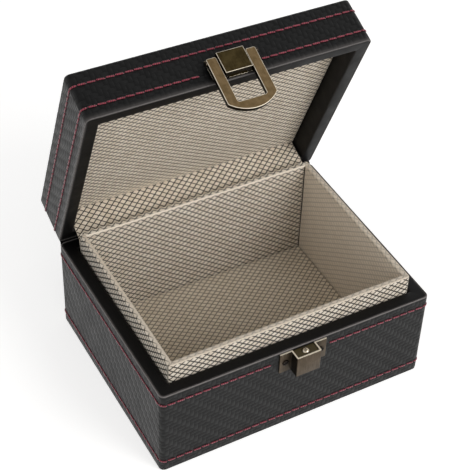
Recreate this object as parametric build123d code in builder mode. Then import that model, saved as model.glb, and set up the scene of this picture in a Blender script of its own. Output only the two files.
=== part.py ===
"""Faraday key box: a leather-wrapped board box with a lined inner tray, a hinged lid and a hasp latch.

Millimetres. +Z is up, +X runs along the front, and the front faces -Y. The origin is the middle of
the face the box stands on. The lid is drawn shut on its own planes and carried to its open angle.
"""

import os
from collections.abc import Callable

from build123d import *

# ---------------------------------------------------------------- overall sizes
box_width = 130.0
box_depth = 102.4
base_height = 46.7
lid_height = 22.0
open_angle = 67.5
rim_seam = 0.3
corner_radius = 2.5
edge_radius = 1.2

# ---------------------------------------------------------------- wall build-up
leather = 0.65
board = 4.8
shield = 0.3
turn_in_depth = 12.0
under_flap_width = 10.0
bottom_board = 2.0
bottom_cover = 0.4
bottom_cover_inset = 3.0

# ---------------------------------------------------------------- inner tray
tray_gap = 0.5
tray_back_gap = 1.0
tray_card = 1.4
lining = 0.55
tray_rise = 9.0
floor_card = 0.8

# ---------------------------------------------------------------- lid interior
tray_head_gap = 0.4
panel_card = 1.2
panel_gap = 0.25

# ---------------------------------------------------------------- soft hinge
hinge_leather = 0.6
hinge_leaf_height = 12.0
hinge_end_inset = 3.0
strip = 0.5
strip_end_inset = 1.0
strip_tuck = 10.0
strip_lid_tuck = 3.0

# ---------------------------------------------------------------- stitching
thread_width = 0.7
thread_rise = 0.25
stitch_rim_inset = 5.3
stitch_edge_inset = 6.2
stitch_gap = 0.4

# ---------------------------------------------------------------- latch on the lid
latch_offset = 0.9
plate_thickness = 0.7
plate_lift = 0.9
knuckle_width = 12.2
knuckle_height = 9.9
knuckle_depth = 4.8
tongue_inset = 1.9
tongue_drop = 0.6
tongue_depth = 1.6
pin_radius = 0.55
pin_height = 8.0
pin_standoff = 3.0
pin_fit = 0.02
pin_running_fit = 0.05
pin_head_radius = 1.1
pin_head_length = 0.5
pin_end_play = 0.1
hasp_arm_width = 4.5
hasp_side_gap = 0.5
hasp_thickness = 2.2
hasp_lean = 2.0
hasp_heel = 1.5
hasp_bow = 4.6
hasp_bow_rise = 4.6
hasp_window_radius = 1.0
metal_bevel = 0.3

# ---------------------------------------------------------------- keeper on the base
keeper_flange = 5.45
keeper_height = 10.8
keeper_drop = 0.8
keeper_side_gap = 0.75
keeper_end_gap = 0.2
keeper_box_depth = 5.6
housing_gap = 0.05
housing_recess = 0.5
ball_radius = 1.9
ball_setback = 0.2
ball_bore_gap = 0.08
ball_bore_depth = 7.0
ball_lip_radius = 1.8
ball_lip = 0.15
ball_seat_gap = 0.02
spring_wire_radius = 0.2
spring_radius = 1.2
spring_turns = 4

# ---------------------------------------------------------------- screws
screw_shank_radius = 0.8
screw_bite = 3.0
screw_head_radius = 1.5
screw_head_height = 0.5
screw_head_dome = 0.35
screw_hole_gap = 0.05
screw_slot_width = 0.4
screw_slot_depth = 0.25
screw_slot_turn = 25.0

# ---------------------------------------------------------------- derived levels and widths
rim = leather + board + shield + leather
board_radius = corner_radius - leather
wrap_bottom = bottom_cover
board_bottom = wrap_bottom + leather
board_top = base_height - leather
shield_bottom = board_bottom + bottom_board
tray_bottom = shield_bottom + shield
tray_top = base_height + tray_rise

inner_width = box_width - 2 * (leather + board)
inner_depth = box_depth - 2 * (leather + board)
opening_width = box_width - 2 * rim
opening_depth = box_depth - 2 * rim

hinge_y = box_depth / 2 + hinge_leather / 2
hinge_z = base_height + rim_seam / 2
lid_rim = base_height + rim_seam
lid_top = lid_rim + lid_height
lid_board_bottom = lid_rim + leather
lid_top_board_bottom = lid_top - leather - board
panel_face = tray_top + tray_head_gap

hasp_window_width = knuckle_width + 2 * hasp_side_gap
hasp_width = hasp_window_width + 2 * hasp_arm_width
hasp_window_drop = rim_seam + keeper_drop + keeper_height + keeper_end_gap
plate_width = hasp_width + 2 * (pin_end_play + pin_head_length)
plate_screw_pitch = (plate_width + knuckle_width) / 2
keeper_box_width = hasp_window_width - 2 * keeper_side_gap
keeper_width = keeper_box_width + 2 * keeper_flange
keeper_screw_pitch = keeper_box_width + keeper_flange
keeper_screw_level = -keeper_drop - keeper_height / 2
plate_screw_level = plate_lift + knuckle_height / 2

open_lid = Pos(0, hinge_y, hinge_z) * Rot(X=-open_angle) * Pos(0, -hinge_y, -hinge_z)


def on_base(plane: Plane) -> Plane:
    """A plane of the base, which stays where it is drawn."""
    return plane


def on_lid(plane: Plane) -> Plane:
    """A plane of the shut lid, carried to the lid's open angle."""
    return Plane(open_lid * plane.location)


def front_plane(height: float) -> Plane:
    """The front face at a height: local x is along +X from the latch's middle, local y is up."""
    origin = (latch_offset, -box_depth / 2, height)
    return Plane(origin=origin, x_dir=(1, 0, 0), z_dir=(0, -1, 0))


base_front = front_plane(base_height)
lid_front = on_lid(front_plane(lid_rim))
lid_up = Axis(lid_front.origin, lid_front.y_dir)
lid_out = Axis(lid_front.origin, lid_front.z_dir)
base_out = Axis(base_front.origin, base_front.z_dir)


def save(piece: BuildPart, name: str) -> None:
    """Label a finished piece and write it as its own STEP file."""
    piece.part.label = name
    export_step(piece.part, f"parts/{name}.step")


def block(plane: Plane, width: float, depth: float, height: float, mode: Mode = Mode.ADD) -> None:
    """A rectangular block standing on a plane, added to or cut from the piece being made."""
    with BuildSketch(plane) as footprint:
        Rectangle(width, depth)
    extrude(footprint.sketch, amount=height, mode=mode)


def rounded_block(plane: Plane, inset: float, height: float, mode: Mode = Mode.ADD) -> None:
    """A block with the box's footprint, drawn in by an inset, with matching rounded corners."""
    with BuildSketch(plane) as footprint:
        RectangleRounded(box_width - 2 * inset, box_depth - 2 * inset, corner_radius - inset)
    extrude(footprint.sketch, amount=height, mode=mode)


def screw_holes(plane: Plane, level: float, pitch: float, depth: float) -> None:
    """A pair of pilot holes for the latch screws, cut inwards from a front face."""
    with BuildSketch(plane) as holes:
        with Locations((0, level)):
            with GridLocations(pitch, 0, 2, 1):
                Circle(screw_shank_radius + screw_hole_gap)
    extrude(holes.sketch, amount=-depth, mode=Mode.SUBTRACT)


def wall_boards(
    prefix: str, place: Callable, low: float, high: float, front: Plane, level: float, pitch: float
) -> None:
    """Four boards butted at the corners; the front and back ones run the full width."""
    width = box_width - 2 * leather
    depth = box_depth - 2 * leather
    for side, sign in (("front", -1), ("back", 1)):
        with BuildPart() as long_board:
            with BuildSketch(place(Plane.XY.offset(low))):
                RectangleRounded(width, depth, board_radius)
                with Locations((0, -sign * board)):
                    Rectangle(width, depth, mode=Mode.SUBTRACT)
            extrude(amount=high - low)
            if side == "front":
                screw_holes(front, level, pitch, leather + board)
        save(long_board, f"{prefix}_{side}_board")
    for side, sign in (("left", -1), ("right", 1)):
        with BuildPart() as short_board:
            with BuildSketch(place(Plane.XY.offset(low))):
                with Locations((sign * (width - board) / 2, 0)):
                    Rectangle(board, depth - 2 * board)
            extrude(amount=high - low)
        save(short_board, f"{prefix}_{side}_board")


def stitch_row(
    name: str, place: Callable, level: float, front: Plane, clear: tuple | None, open_back: bool
) -> None:
    """One row of thread around the walls, broken where latch metal or the outer hinge covers the leather.

    The cleared area is the metal's width, the height of its middle on the front plane and its own height.
    """
    with BuildPart() as row:
        start = place(Plane.XY.offset(level - thread_width / 2))
        rounded_block(start, -thread_rise, thread_width)
        rounded_block(start, 0, thread_width, mode=Mode.SUBTRACT)
        if clear:
            with BuildSketch(front):
                with Locations((0, clear[1])):
                    Rectangle(clear[0] + 2 * stitch_gap, clear[2] + 2 * stitch_gap)
            extrude(amount=2 * thread_rise, mode=Mode.SUBTRACT)
        if open_back:
            with BuildSketch(start):
                with Locations((0, box_depth / 2)):
                    Rectangle(box_width + 4 * thread_rise, 2 * corner_radius)
            extrude(amount=thread_width, mode=Mode.SUBTRACT)
    save(row, name)


def screw_pair(name: str, front: Plane, level: float, pitch: float) -> None:
    """Two domed, slotted wood screws seated on latch metal and biting into the board."""
    seat = front.offset(plate_thickness)
    with BuildPart() as screws:
        with BuildSketch(seat):
            with Locations((0, level)):
                with GridLocations(pitch, 0, 2, 1):
                    Circle(screw_head_radius)
        extrude(amount=screw_head_height)
        fillet(screws.faces().sort_by(Axis(front.origin, front.z_dir))[-2:].edges(), screw_head_dome)
        with BuildSketch(seat):
            with Locations((0, level)):
                with GridLocations(pitch, 0, 2, 1):
                    Circle(screw_shank_radius)
        extrude(amount=-(plate_thickness + leather + screw_bite))
        with BuildSketch(seat.offset(screw_head_height)):
            with Locations((0, level)):
                with GridLocations(pitch, 0, 2, 1):
                    Rectangle(2 * screw_head_radius, screw_slot_width, rotation=screw_slot_turn)
        extrude(amount=-screw_slot_depth, mode=Mode.SUBTRACT)
    save(screws, name)


def rim_strip(name: str, start: Plane, into: int) -> None:
    """A smooth strip that covers a rim and turns in down the inside of the walls.

    The start plane lies on the rim's face, and into is +1 or -1 along its normal into the wall.
    """
    with BuildPart() as strip_piece:
        rounded_block(start, leather, into * leather)
        block(start, inner_width - 2 * shield, inner_depth - 2 * shield, into * turn_in_depth)
        block(start, opening_width, opening_depth, into * turn_in_depth, mode=Mode.SUBTRACT)
    save(strip_piece, name)


os.makedirs("parts", exist_ok=True)

# ================================================================ base
wall_boards("base", on_base, board_bottom, board_top, base_front, keeper_screw_level, keeper_screw_pitch)

with BuildPart() as base_bottom_board:
    block(Plane.XY.offset(board_bottom), inner_width, inner_depth, bottom_board)
save(base_bottom_board, "base_bottom_board")

with BuildPart() as base_shield:
    block(Plane.XY.offset(shield_bottom), inner_width, inner_depth, board_top - shield_bottom)
    block(
        Plane.XY.offset(tray_bottom),
        inner_width - 2 * shield,
        inner_depth - 2 * shield,
        board_top - tray_bottom,
        mode=Mode.SUBTRACT,
    )
save(base_shield, "base_shielding_liner")

# the embossed wrap: a skin around the walls and a flap folded under the bottom
with BuildPart() as base_leather:
    rounded_block(Plane.XY.offset(wrap_bottom), 0, base_height - wrap_bottom)
    rounded_block(
        Plane.XY.offset(board_bottom), leather, base_height - board_bottom, mode=Mode.SUBTRACT
    )
    block(
        Plane.XY.offset(wrap_bottom),
        box_width - 2 * under_flap_width,
        box_depth - 2 * under_flap_width,
        leather,
        mode=Mode.SUBTRACT,
    )
    screw_holes(base_front, keeper_screw_level, keeper_screw_pitch, leather)
save(base_leather, "base_leather_wrap")

rim_strip("base_rim_strip", Plane.XY.offset(base_height), -1)

with BuildPart() as bottom_sheet:
    with BuildSketch(Plane.XY):
        RectangleRounded(
            box_width - 2 * bottom_cover_inset,
            box_depth - 2 * bottom_cover_inset,
            corner_radius,
        )
    extrude(amount=bottom_cover)
save(bottom_sheet, "bottom_cover_sheet")

# ================================================================ inner tray
wall = tray_card + 2 * lining
tray_width = opening_width - 2 * tray_gap
tray_front_y = -opening_depth / 2 + tray_gap
tray_back_y = opening_depth / 2 - tray_back_gap
tray_depth = tray_back_y - tray_front_y
tray_middle_y = (tray_front_y + tray_back_y) / 2
tray_height = tray_top - tray_bottom


def tray_wall(side: str, centre: tuple, length: float, along_x: bool) -> None:
    """One card wall and the folded lining that covers both its faces and its top edge."""
    size = (length, wall) if along_x else (wall, length)
    card_size = (length, tray_card) if along_x else (tray_card, length)
    with BuildPart() as cover:
        with BuildSketch(Plane.XY.offset(tray_bottom)):
            with Locations(centre):
                Rectangle(*size)
        extrude(amount=tray_height)
        with BuildSketch(Plane.XY.offset(tray_bottom)):
            with Locations(centre):
                Rectangle(*card_size)
        extrude(amount=tray_height - lining, mode=Mode.SUBTRACT)
    save(cover, f"tray_{side}_lining")
    with BuildPart() as card:
        with BuildSketch(Plane.XY.offset(tray_bottom)):
            with Locations(centre):
                Rectangle(*card_size)
        extrude(amount=tray_height - lining)
    save(card, f"tray_{side}_card")


side_length = tray_depth - 2 * wall
tray_wall("front", (0, tray_front_y + wall / 2), tray_width, True)
tray_wall("back", (0, tray_back_y - wall / 2), tray_width, True)
tray_wall("left", (-(tray_width - wall) / 2, tray_middle_y), side_length, False)
tray_wall("right", ((tray_width - wall) / 2, tray_middle_y), side_length, False)

for name, low, thickness in (
    ("tray_floor_card", tray_bottom, floor_card),
    ("tray_floor_lining", tray_bottom + floor_card, lining),
):
    with BuildPart() as floor_piece:
        with BuildSketch(Plane.XY.offset(low)):
            with Locations((0, tray_middle_y)):
                Rectangle(tray_width - 2 * wall, side_length)
        extrude(amount=thickness)
    save(floor_piece, name)

# ================================================================ lid
wall_boards(
    "lid",
    on_lid,
    lid_board_bottom,
    lid_top_board_bottom,
    lid_front,
    plate_screw_level,
    plate_screw_pitch,
)

with BuildPart() as lid_top_board:
    rounded_block(on_lid(Plane.XY.offset(lid_top_board_bottom)), leather, board)
save(lid_top_board, "lid_top_board")

with BuildPart() as lid_shield:
    block(
        on_lid(Plane.XY.offset(lid_board_bottom)),
        inner_width,
        inner_depth,
        lid_top_board_bottom - lid_board_bottom,
    )
    block(
        on_lid(Plane.XY.offset(lid_board_bottom)),
        inner_width - 2 * shield,
        inner_depth - 2 * shield,
        lid_top_board_bottom - lid_board_bottom - shield,
        mode=Mode.SUBTRACT,
    )
save(lid_shield, "lid_shielding_liner")

with BuildPart() as lid_leather:
    rounded_block(on_lid(Plane.XY.offset(lid_rim)), 0, lid_height)
    fillet(lid_leather.faces().sort_by(lid_up)[-1].edges(), edge_radius)
    rounded_block(
        on_lid(Plane.XY.offset(lid_rim)), leather, lid_height - leather, mode=Mode.SUBTRACT
    )
    screw_holes(lid_front, plate_screw_level, plate_screw_pitch, leather)
save(lid_leather, "lid_leather_wrap")

rim_strip("lid_rim_strip", on_lid(Plane.XY.offset(lid_rim)), 1)

# lining panel: foam, a card and the fabric that covers the card's face and edges
panel_width = opening_width - 2 * panel_gap
panel_front_y = -opening_depth / 2 + panel_gap
panel_back_y = opening_depth / 2 - strip - panel_gap
panel_depth = panel_back_y - panel_front_y
panel_middle_y = (panel_front_y + panel_back_y) / 2
card_bottom = panel_face + lining
foam_bottom = card_bottom + panel_card
foam_top = lid_top_board_bottom - shield

with BuildPart() as panel_lining:
    with BuildSketch(on_lid(Plane.XY.offset(panel_face))):
        with Locations((0, panel_middle_y)):
            Rectangle(panel_width, panel_depth)
    extrude(amount=lining + panel_card)
    with BuildSketch(on_lid(Plane.XY.offset(card_bottom))):
        with Locations((0, panel_middle_y)):
            Rectangle(panel_width - 2 * lining, panel_depth - 2 * lining)
    extrude(amount=panel_card, mode=Mode.SUBTRACT)
save(panel_lining, "lid_panel_lining")

with BuildPart() as panel_board:
    with BuildSketch(on_lid(Plane.XY.offset(card_bottom))):
        with Locations((0, panel_middle_y)):
            Rectangle(panel_width - 2 * lining, panel_depth - 2 * lining)
    extrude(amount=panel_card)
save(panel_board, "lid_panel_card")

with BuildPart() as foam_pad:
    with BuildSketch(on_lid(Plane.XY.offset(foam_bottom))):
        with Locations((0, panel_middle_y)):
            Rectangle(panel_width, panel_depth)
    extrude(amount=foam_top - foam_bottom)
save(foam_pad, "lid_foam_pad")

# ================================================================ soft hinge
leaf_width = box_width - 2 * hinge_end_inset
hinge_axis_plane = Plane(origin=(-leaf_width / 2, hinge_y, hinge_z), x_dir=(0, 1, 0), z_dir=(1, 0, 0))

# the outer strip: one leaf on each back face and a round fold on the hinge axis
with BuildPart() as outer_hinge:
    with BuildSketch(Plane.XY.offset(hinge_z)):
        with Locations((0, hinge_y)):
            Rectangle(leaf_width, hinge_leather)
    extrude(amount=-hinge_leaf_height)
    with BuildSketch(on_lid(Plane.XY.offset(hinge_z))):
        with Locations((0, hinge_y)):
            Rectangle(leaf_width, hinge_leather)
    extrude(amount=hinge_leaf_height)
    with BuildSketch(hinge_axis_plane):
        Circle(hinge_leather / 2)
    extrude(amount=leaf_width)
save(outer_hinge, "outer_hinge_strip")

# the inner strip: lining fabric down the lid's back wall, across the joint and behind the tray
strip_y = opening_depth / 2 - strip / 2
lid_strip_top = on_lid(Plane((0, strip_y, panel_face + strip_lid_tuck))).origin
lid_strip_edge = on_lid(Plane((0, strip_y, hinge_z))).origin

with BuildPart() as inner_hinge:
    with BuildSketch(Plane.YZ.offset(-opening_width / 2 + strip_end_inset)):
        with BuildLine():
            Polyline(
                (lid_strip_top.Y, lid_strip_top.Z),
                (lid_strip_edge.Y, lid_strip_edge.Z),
                (strip_y, hinge_z),
                (strip_y, base_height - strip_tuck),
            )
        trace(line_width=strip)
    extrude(amount=opening_width - 2 * strip_end_inset)
save(inner_hinge, "inner_hinge_strip")

# ================================================================ stitching
keeper_clear = (keeper_width, keeper_screw_level, keeper_height)
plate_clear = (plate_width, plate_screw_level, knuckle_height + 2 * tongue_drop)
stitch_row("base_upper_stitching", on_base, base_height - stitch_rim_inset, base_front, keeper_clear, True)
stitch_row("base_lower_stitching", on_base, stitch_edge_inset, base_front, None, False)
stitch_row("lid_lower_stitching", on_lid, lid_rim + stitch_rim_inset, lid_front, plate_clear, True)
stitch_row("lid_upper_stitching", on_lid, lid_top - stitch_edge_inset, lid_front, None, False)

# ================================================================ latch on the lid
pin_plane = Plane(
    origin=lid_front.from_local_coords((0, pin_height, pin_standoff)),
    x_dir=lid_front.z_dir,
    z_dir=lid_front.x_dir,
)

with BuildPart() as latch_plate:
    with BuildSketch(lid_front):
        with Locations((0, plate_screw_level)):
            Rectangle(plate_width, knuckle_height)
    extrude(amount=plate_thickness)
    with BuildSketch(lid_front):
        with Locations((0, plate_lift - tongue_drop)):
            Rectangle(knuckle_width - 2 * tongue_inset, knuckle_height, align=(Align.CENTER, Align.MIN))
    extrude(amount=tongue_depth)
    with BuildSketch(lid_front):
        with Locations((0, plate_screw_level)):
            Rectangle(knuckle_width, knuckle_height)
    extrude(amount=knuckle_depth)
    chamfer(latch_plate.faces().sort_by(lid_out)[-1].edges(), metal_bevel)
    screw_holes(lid_front.offset(plate_thickness), plate_screw_level, plate_screw_pitch, plate_thickness)
    with BuildSketch(pin_plane):
        Circle(pin_radius + pin_fit)
    extrude(amount=knuckle_width, both=True, mode=Mode.SUBTRACT)
save(latch_plate, "lid_latch_plate")

with BuildPart() as hinge_pin:
    with BuildSketch(pin_plane):
        Circle(pin_radius)
    extrude(amount=hasp_width / 2 + pin_end_play, both=True)
    for sign in (-1, 1):
        with BuildSketch(pin_plane.offset(sign * (hasp_width / 2 + pin_end_play))):
            Circle(pin_head_radius)
        extrude(amount=sign * pin_head_length)
save(hinge_pin, "hasp_pivot_pin")

hasp_plane = Plane(
    origin=pin_plane.origin,
    x_dir=lid_front.x_dir,
    z_dir=lid_front.z_dir,
).rotated((hasp_lean, 0, 0))
window_y = -pin_height - hasp_window_drop
tip_y = window_y - hasp_bow
corner_y = tip_y + hasp_bow_rise

with BuildPart() as hasp:
    with BuildSketch(hasp_plane.offset(-hasp_thickness / 2)):
        with BuildLine():
            arc = ThreePointArc((-hasp_width / 2, corner_y), (0, tip_y), (hasp_width / 2, corner_y))
            Polyline(
                arc @ 1,
                (hasp_width / 2, hasp_heel),
                (-hasp_width / 2, hasp_heel),
                arc @ 0,
            )
        make_face()
        with Locations((0, window_y)):
            RectangleRounded(
                hasp_window_width,
                hasp_heel - window_y + 2 * hasp_window_radius,
                hasp_window_radius,
                align=(Align.CENTER, Align.MIN),
                mode=Mode.SUBTRACT,
            )
    extrude(amount=hasp_thickness)
    chamfer(hasp.faces().sort_by(Axis(hasp_plane.origin, hasp_plane.z_dir))[-1].edges(), metal_bevel)
    with BuildSketch(pin_plane):
        Circle(pin_radius + pin_running_fit)
    extrude(amount=hasp_width, both=True, mode=Mode.SUBTRACT)
save(hasp, "latch_hasp")

screw_pair("latch_plate_screws", lid_front, plate_screw_level, plate_screw_pitch)

# ================================================================ keeper on the base
with BuildPart() as keeper:
    with BuildSketch(base_front):
        with Locations((0, keeper_screw_level)):
            Rectangle(keeper_width, keeper_height)
    extrude(amount=plate_thickness)
    with BuildSketch(base_front):
        with Locations((0, keeper_screw_level)):
            Rectangle(keeper_box_width, keeper_height)
    extrude(amount=keeper_box_depth)
    chamfer(keeper.faces().sort_by(base_out)[-1].edges(), metal_bevel)
    with BuildSketch(base_front):
        with Locations((0, keeper_screw_level)):
            Rectangle(keeper_box_width - 2 * plate_thickness, keeper_height)
    extrude(amount=keeper_box_depth - plate_thickness, mode=Mode.SUBTRACT)
    screw_holes(
        base_front.offset(plate_thickness), keeper_screw_level, keeper_screw_pitch, plate_thickness
    )
save(keeper, "keeper_strap")

housing_top = base_height - keeper_drop - housing_recess
housing_height = keeper_height - housing_recess
housing_width = keeper_box_width - 2 * plate_thickness - 2 * housing_gap
housing_depth = keeper_box_depth - plate_thickness - 2 * housing_gap
ball_y = -box_depth / 2 - housing_gap - housing_depth / 2 + ball_setback
housing_plane = Plane((latch_offset, -box_depth / 2 - housing_gap - housing_depth / 2, housing_top))
ball_plane = Plane((latch_offset, ball_y, housing_top))
ball_drop = ball_lip + ball_seat_gap + (ball_radius**2 - ball_lip_radius**2) ** 0.5
spring_room = ball_bore_depth - ball_drop - (ball_radius**2 - spring_radius**2) ** 0.5
spring_rise = spring_room - 3 * spring_wire_radius

with BuildPart() as housing:
    with BuildSketch(housing_plane):
        Rectangle(housing_width, housing_depth)
    extrude(amount=-housing_height)
    with BuildSketch(ball_plane):
        Circle(ball_lip_radius)
    extrude(amount=-ball_lip, mode=Mode.SUBTRACT)
    with BuildSketch(ball_plane.offset(-ball_lip)):
        Circle(ball_radius + ball_bore_gap)
    extrude(amount=-(ball_bore_depth - ball_lip), mode=Mode.SUBTRACT)
save(housing, "detent_housing")

with BuildPart() as ball:
    with Locations(ball_plane.offset(-ball_drop).location):
        Sphere(ball_radius)
save(ball, "detent_ball")

spring_plane = ball_plane.offset(-ball_bore_depth + spring_wire_radius)
with BuildPart() as spring:
    with BuildLine(spring_plane):
        coil = Helix(pitch=spring_rise / spring_turns, height=spring_rise, radius=spring_radius)
    with BuildSketch(Plane(origin=coil @ 0, z_dir=coil % 0)):
        Circle(spring_wire_radius)
    sweep(path=coil, is_frenet=True)
save(spring, "detent_spring")

screw_pair("keeper_screws", base_front, keeper_screw_level, keeper_screw_pitch)
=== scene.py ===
"""Faraday key box, dressed: twill-embossed leathercloth, a woven lining, real stitches and a bronzed hasp.

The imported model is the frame. Pieces are drawn in millimetres on the shut box, carried to where their
body stands with the lid open, and written in metres with their place in the mesh. Patterns that follow
a surface read its own UV map, whose two numbers are millimetres along and up the cloth.
"""

from __future__ import annotations

import logging
from dataclasses import dataclass, field
from enum import Enum
from math import pi, radians
from typing import Any, Callable, Sequence

import bmesh
import bpy
import numpy as np
from mathutils import Matrix, Vector


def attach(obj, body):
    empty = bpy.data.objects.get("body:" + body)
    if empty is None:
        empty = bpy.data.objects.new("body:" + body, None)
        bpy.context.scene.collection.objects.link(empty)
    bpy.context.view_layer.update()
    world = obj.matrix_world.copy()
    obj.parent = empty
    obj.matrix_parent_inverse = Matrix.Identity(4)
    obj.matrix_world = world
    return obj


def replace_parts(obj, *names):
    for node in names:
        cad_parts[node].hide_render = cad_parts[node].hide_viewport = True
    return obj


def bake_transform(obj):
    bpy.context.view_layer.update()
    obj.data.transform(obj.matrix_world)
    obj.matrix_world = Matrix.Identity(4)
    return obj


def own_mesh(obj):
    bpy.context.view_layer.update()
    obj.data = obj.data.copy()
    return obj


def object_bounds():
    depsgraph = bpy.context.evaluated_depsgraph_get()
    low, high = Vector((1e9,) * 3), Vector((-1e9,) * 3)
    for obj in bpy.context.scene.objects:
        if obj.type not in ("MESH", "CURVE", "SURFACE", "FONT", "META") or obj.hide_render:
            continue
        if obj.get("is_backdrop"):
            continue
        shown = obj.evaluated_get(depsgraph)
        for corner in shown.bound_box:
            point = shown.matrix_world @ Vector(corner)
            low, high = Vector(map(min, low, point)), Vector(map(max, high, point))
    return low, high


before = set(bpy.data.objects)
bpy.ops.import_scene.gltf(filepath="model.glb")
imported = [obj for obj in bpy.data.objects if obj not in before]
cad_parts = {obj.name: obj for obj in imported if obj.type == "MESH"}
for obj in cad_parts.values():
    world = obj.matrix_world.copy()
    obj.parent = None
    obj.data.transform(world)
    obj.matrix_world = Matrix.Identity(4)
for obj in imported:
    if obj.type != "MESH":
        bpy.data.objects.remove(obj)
cad_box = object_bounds()

Array = np.ndarray
MM = 0.001
SURFACE = "surface"
EDGE = "edge"

log = logging.getLogger("key_box")


# ================================================================ sizes


@dataclass(frozen=True)
class BoxSizes:
    """The box's own sizes in millimetres, as its solids have them."""

    width: float = 130.0
    depth: float = 102.4
    base_height: float = 46.7
    lid_height: float = 22.0
    open_angle: float = 67.5
    rim_seam: float = 0.3
    corner_radius: float = 2.5
    edge_radius: float = 1.2
    leather: float = 0.65
    board: float = 4.8
    shield: float = 0.3
    turn_in: float = 12.0
    under_flap: float = 10.0
    bottom_cover: float = 0.4
    hinge_leather: float = 0.6
    stitch_rim_inset: float = 5.3
    stitch_edge_inset: float = 6.2
    latch_offset: float = 0.9

    @property
    def rim(self) -> float:
        """Width of the leather-covered rim."""
        return 2 * self.leather + self.board + self.shield

    @property
    def opening(self) -> tuple[float, float]:
        """Width and depth between the lined walls."""
        return self.width - 2 * self.rim, self.depth - 2 * self.rim

    @property
    def hinge(self) -> tuple[float, float]:
        """Y and Z of the axis that the lid turns on."""
        return self.depth / 2 + self.hinge_leather / 2, self.base_height + self.rim_seam / 2

    @property
    def lid_rim(self) -> float:
        """Height of the shut lid's rim."""
        return self.base_height + self.rim_seam

    @property
    def lid_top(self) -> float:
        """Height of the shut lid's top face."""
        return self.lid_rim + self.lid_height


BOX = BoxSizes()


def turned(points: Array, angle: float, y: float, z: float) -> Array:
    """Turns points about a line along X: the Y and Z offsets from it mix by the angle's cosine and sine.

    Args:
        points: positions in millimetres, with X, Y and Z last.
        angle: the turn in degrees, from Y towards Z.
        y: the line's Y.
        z: the line's Z.

    Returns:
        The turned positions.
    """
    cos, sin = np.cos(radians(angle)), np.sin(radians(angle))
    dy, dz = points[..., 1] - y, points[..., 2] - z
    return np.stack([points[..., 0], y + dy * cos - dz * sin, z + dy * sin + dz * cos], axis=-1)


class Seat(Enum):
    """The body that a piece is drawn on."""

    BASE = "base"
    LID = "lid"
    HASP = "hasp"

    def carry(self, points: Array) -> Array:
        """Moves points of the shut box to where this body stands with the lid open."""
        if self is Seat.BASE:
            return points
        return turned(points, -BOX.open_angle, *BOX.hinge)


# ================================================================ surfaces and meshes


@dataclass
class Patch:
    """A grid of points with cloth coordinates, and how near each point is to a worn or folded edge."""

    points: Array
    uv: Array
    edge: Array | None = None


@dataclass
class Cap:
    """One flat face that closes a shape, with its points in order."""

    points: Array
    uv: Array
    edge: Array | None = None


def grid_corners(rows: int, columns: int) -> Array:
    """Point numbers of each four-sided face of a grid: a point, the next in its row, and the two above."""
    first = (np.arange(rows - 1)[:, None] * columns + np.arange(columns - 1)).ravel()
    return np.stack([first, first + 1, first + columns + 1, first + columns], axis=1)


def make_piece(
    name: str,
    body: str | None,
    finish: "Finish",
    patches: Sequence[Patch],
    caps: Sequence[Cap] = (),
    sharp: float = 40.0,
    turn_out: bool = True,
) -> bpy.types.Object:
    """Joins patches and caps to one closed mesh, in metres, with its cloth coordinates.

    Points that coincide are merged, and if the volume inside comes out negative all faces are turned.

    Args:
        name: the piece's name.
        body: the body that it rides on, or None for no body.
        finish: its finish.
        patches: grids of points in millimetres, already placed.
        caps: flat faces that close the ends.
        sharp: the angle in degrees from which an edge is drawn sharp.
        turn_out: whether faces are turned outwards by the volume's sign.

    Returns:
        The new object, at the origin.
    """
    points, uvs, edges, faces, start = [], [], [], [], 0
    for patch in patches:
        rows, columns = patch.points.shape[:2]
        points.append(patch.points.reshape(-1, 3))
        corner = grid_corners(rows, columns)
        faces.append((corner + start, patch.uv.reshape(-1, 2)[corner]))
        edges.append(np.zeros(rows * columns) if patch.edge is None else patch.edge.ravel())
        start += rows * columns
    for cap in caps:
        order = np.arange(len(cap.points))
        points.append(cap.points)
        faces.append((order[None] + start, cap.uv[None]))
        edges.append(np.zeros(len(order)) if cap.edge is None else cap.edge)
        start += len(order)
    sizes = np.concatenate([np.full(len(f), f.shape[1]) for f, _ in faces])
    loops = np.concatenate([f.ravel() for f, _ in faces])
    uvs = np.concatenate([u.reshape(-1, 2) for _, u in faces])

    mesh = bpy.data.meshes.new(name)
    mesh.vertices.add(start)
    mesh.vertices.foreach_set("co", (np.concatenate(points) * MM).astype(np.float32).ravel())
    mesh.loops.add(len(loops))
    mesh.loops.foreach_set("vertex_index", loops.astype(np.int32))
    mesh.polygons.add(len(sizes))
    mesh.polygons.foreach_set("loop_start", (np.cumsum(sizes) - sizes).astype(np.int32))
    mesh.update(calc_edges=True)
    mesh.uv_layers.new(name=SURFACE).uv.foreach_set("vector", uvs.astype(np.float32).ravel())
    mesh.attributes.new(EDGE, "FLOAT", "POINT").data.foreach_set(
        "value", np.concatenate(edges).astype(np.float32)
    )
    mesh.validate()

    shape = bmesh.new()
    shape.from_mesh(mesh)
    bmesh.ops.remove_doubles(shape, verts=shape.verts, dist=1e-6)
    if turn_out and shape.calc_volume(signed=True) < 0:
        bmesh.ops.reverse_faces(shape, faces=shape.faces)
    shape.to_mesh(mesh)
    shape.free()
    mesh.shade_smooth()
    mesh.set_sharp_from_angle(angle=radians(sharp))

    piece = bpy.data.objects.new(name, mesh)
    bpy.context.scene.collection.objects.link(piece)
    mesh.materials.append(finish.material())
    if body:
        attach(piece, body)
    log.info("%s: %d faces, finish %s", name, len(mesh.polygons), finish.slot)
    return piece


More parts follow.
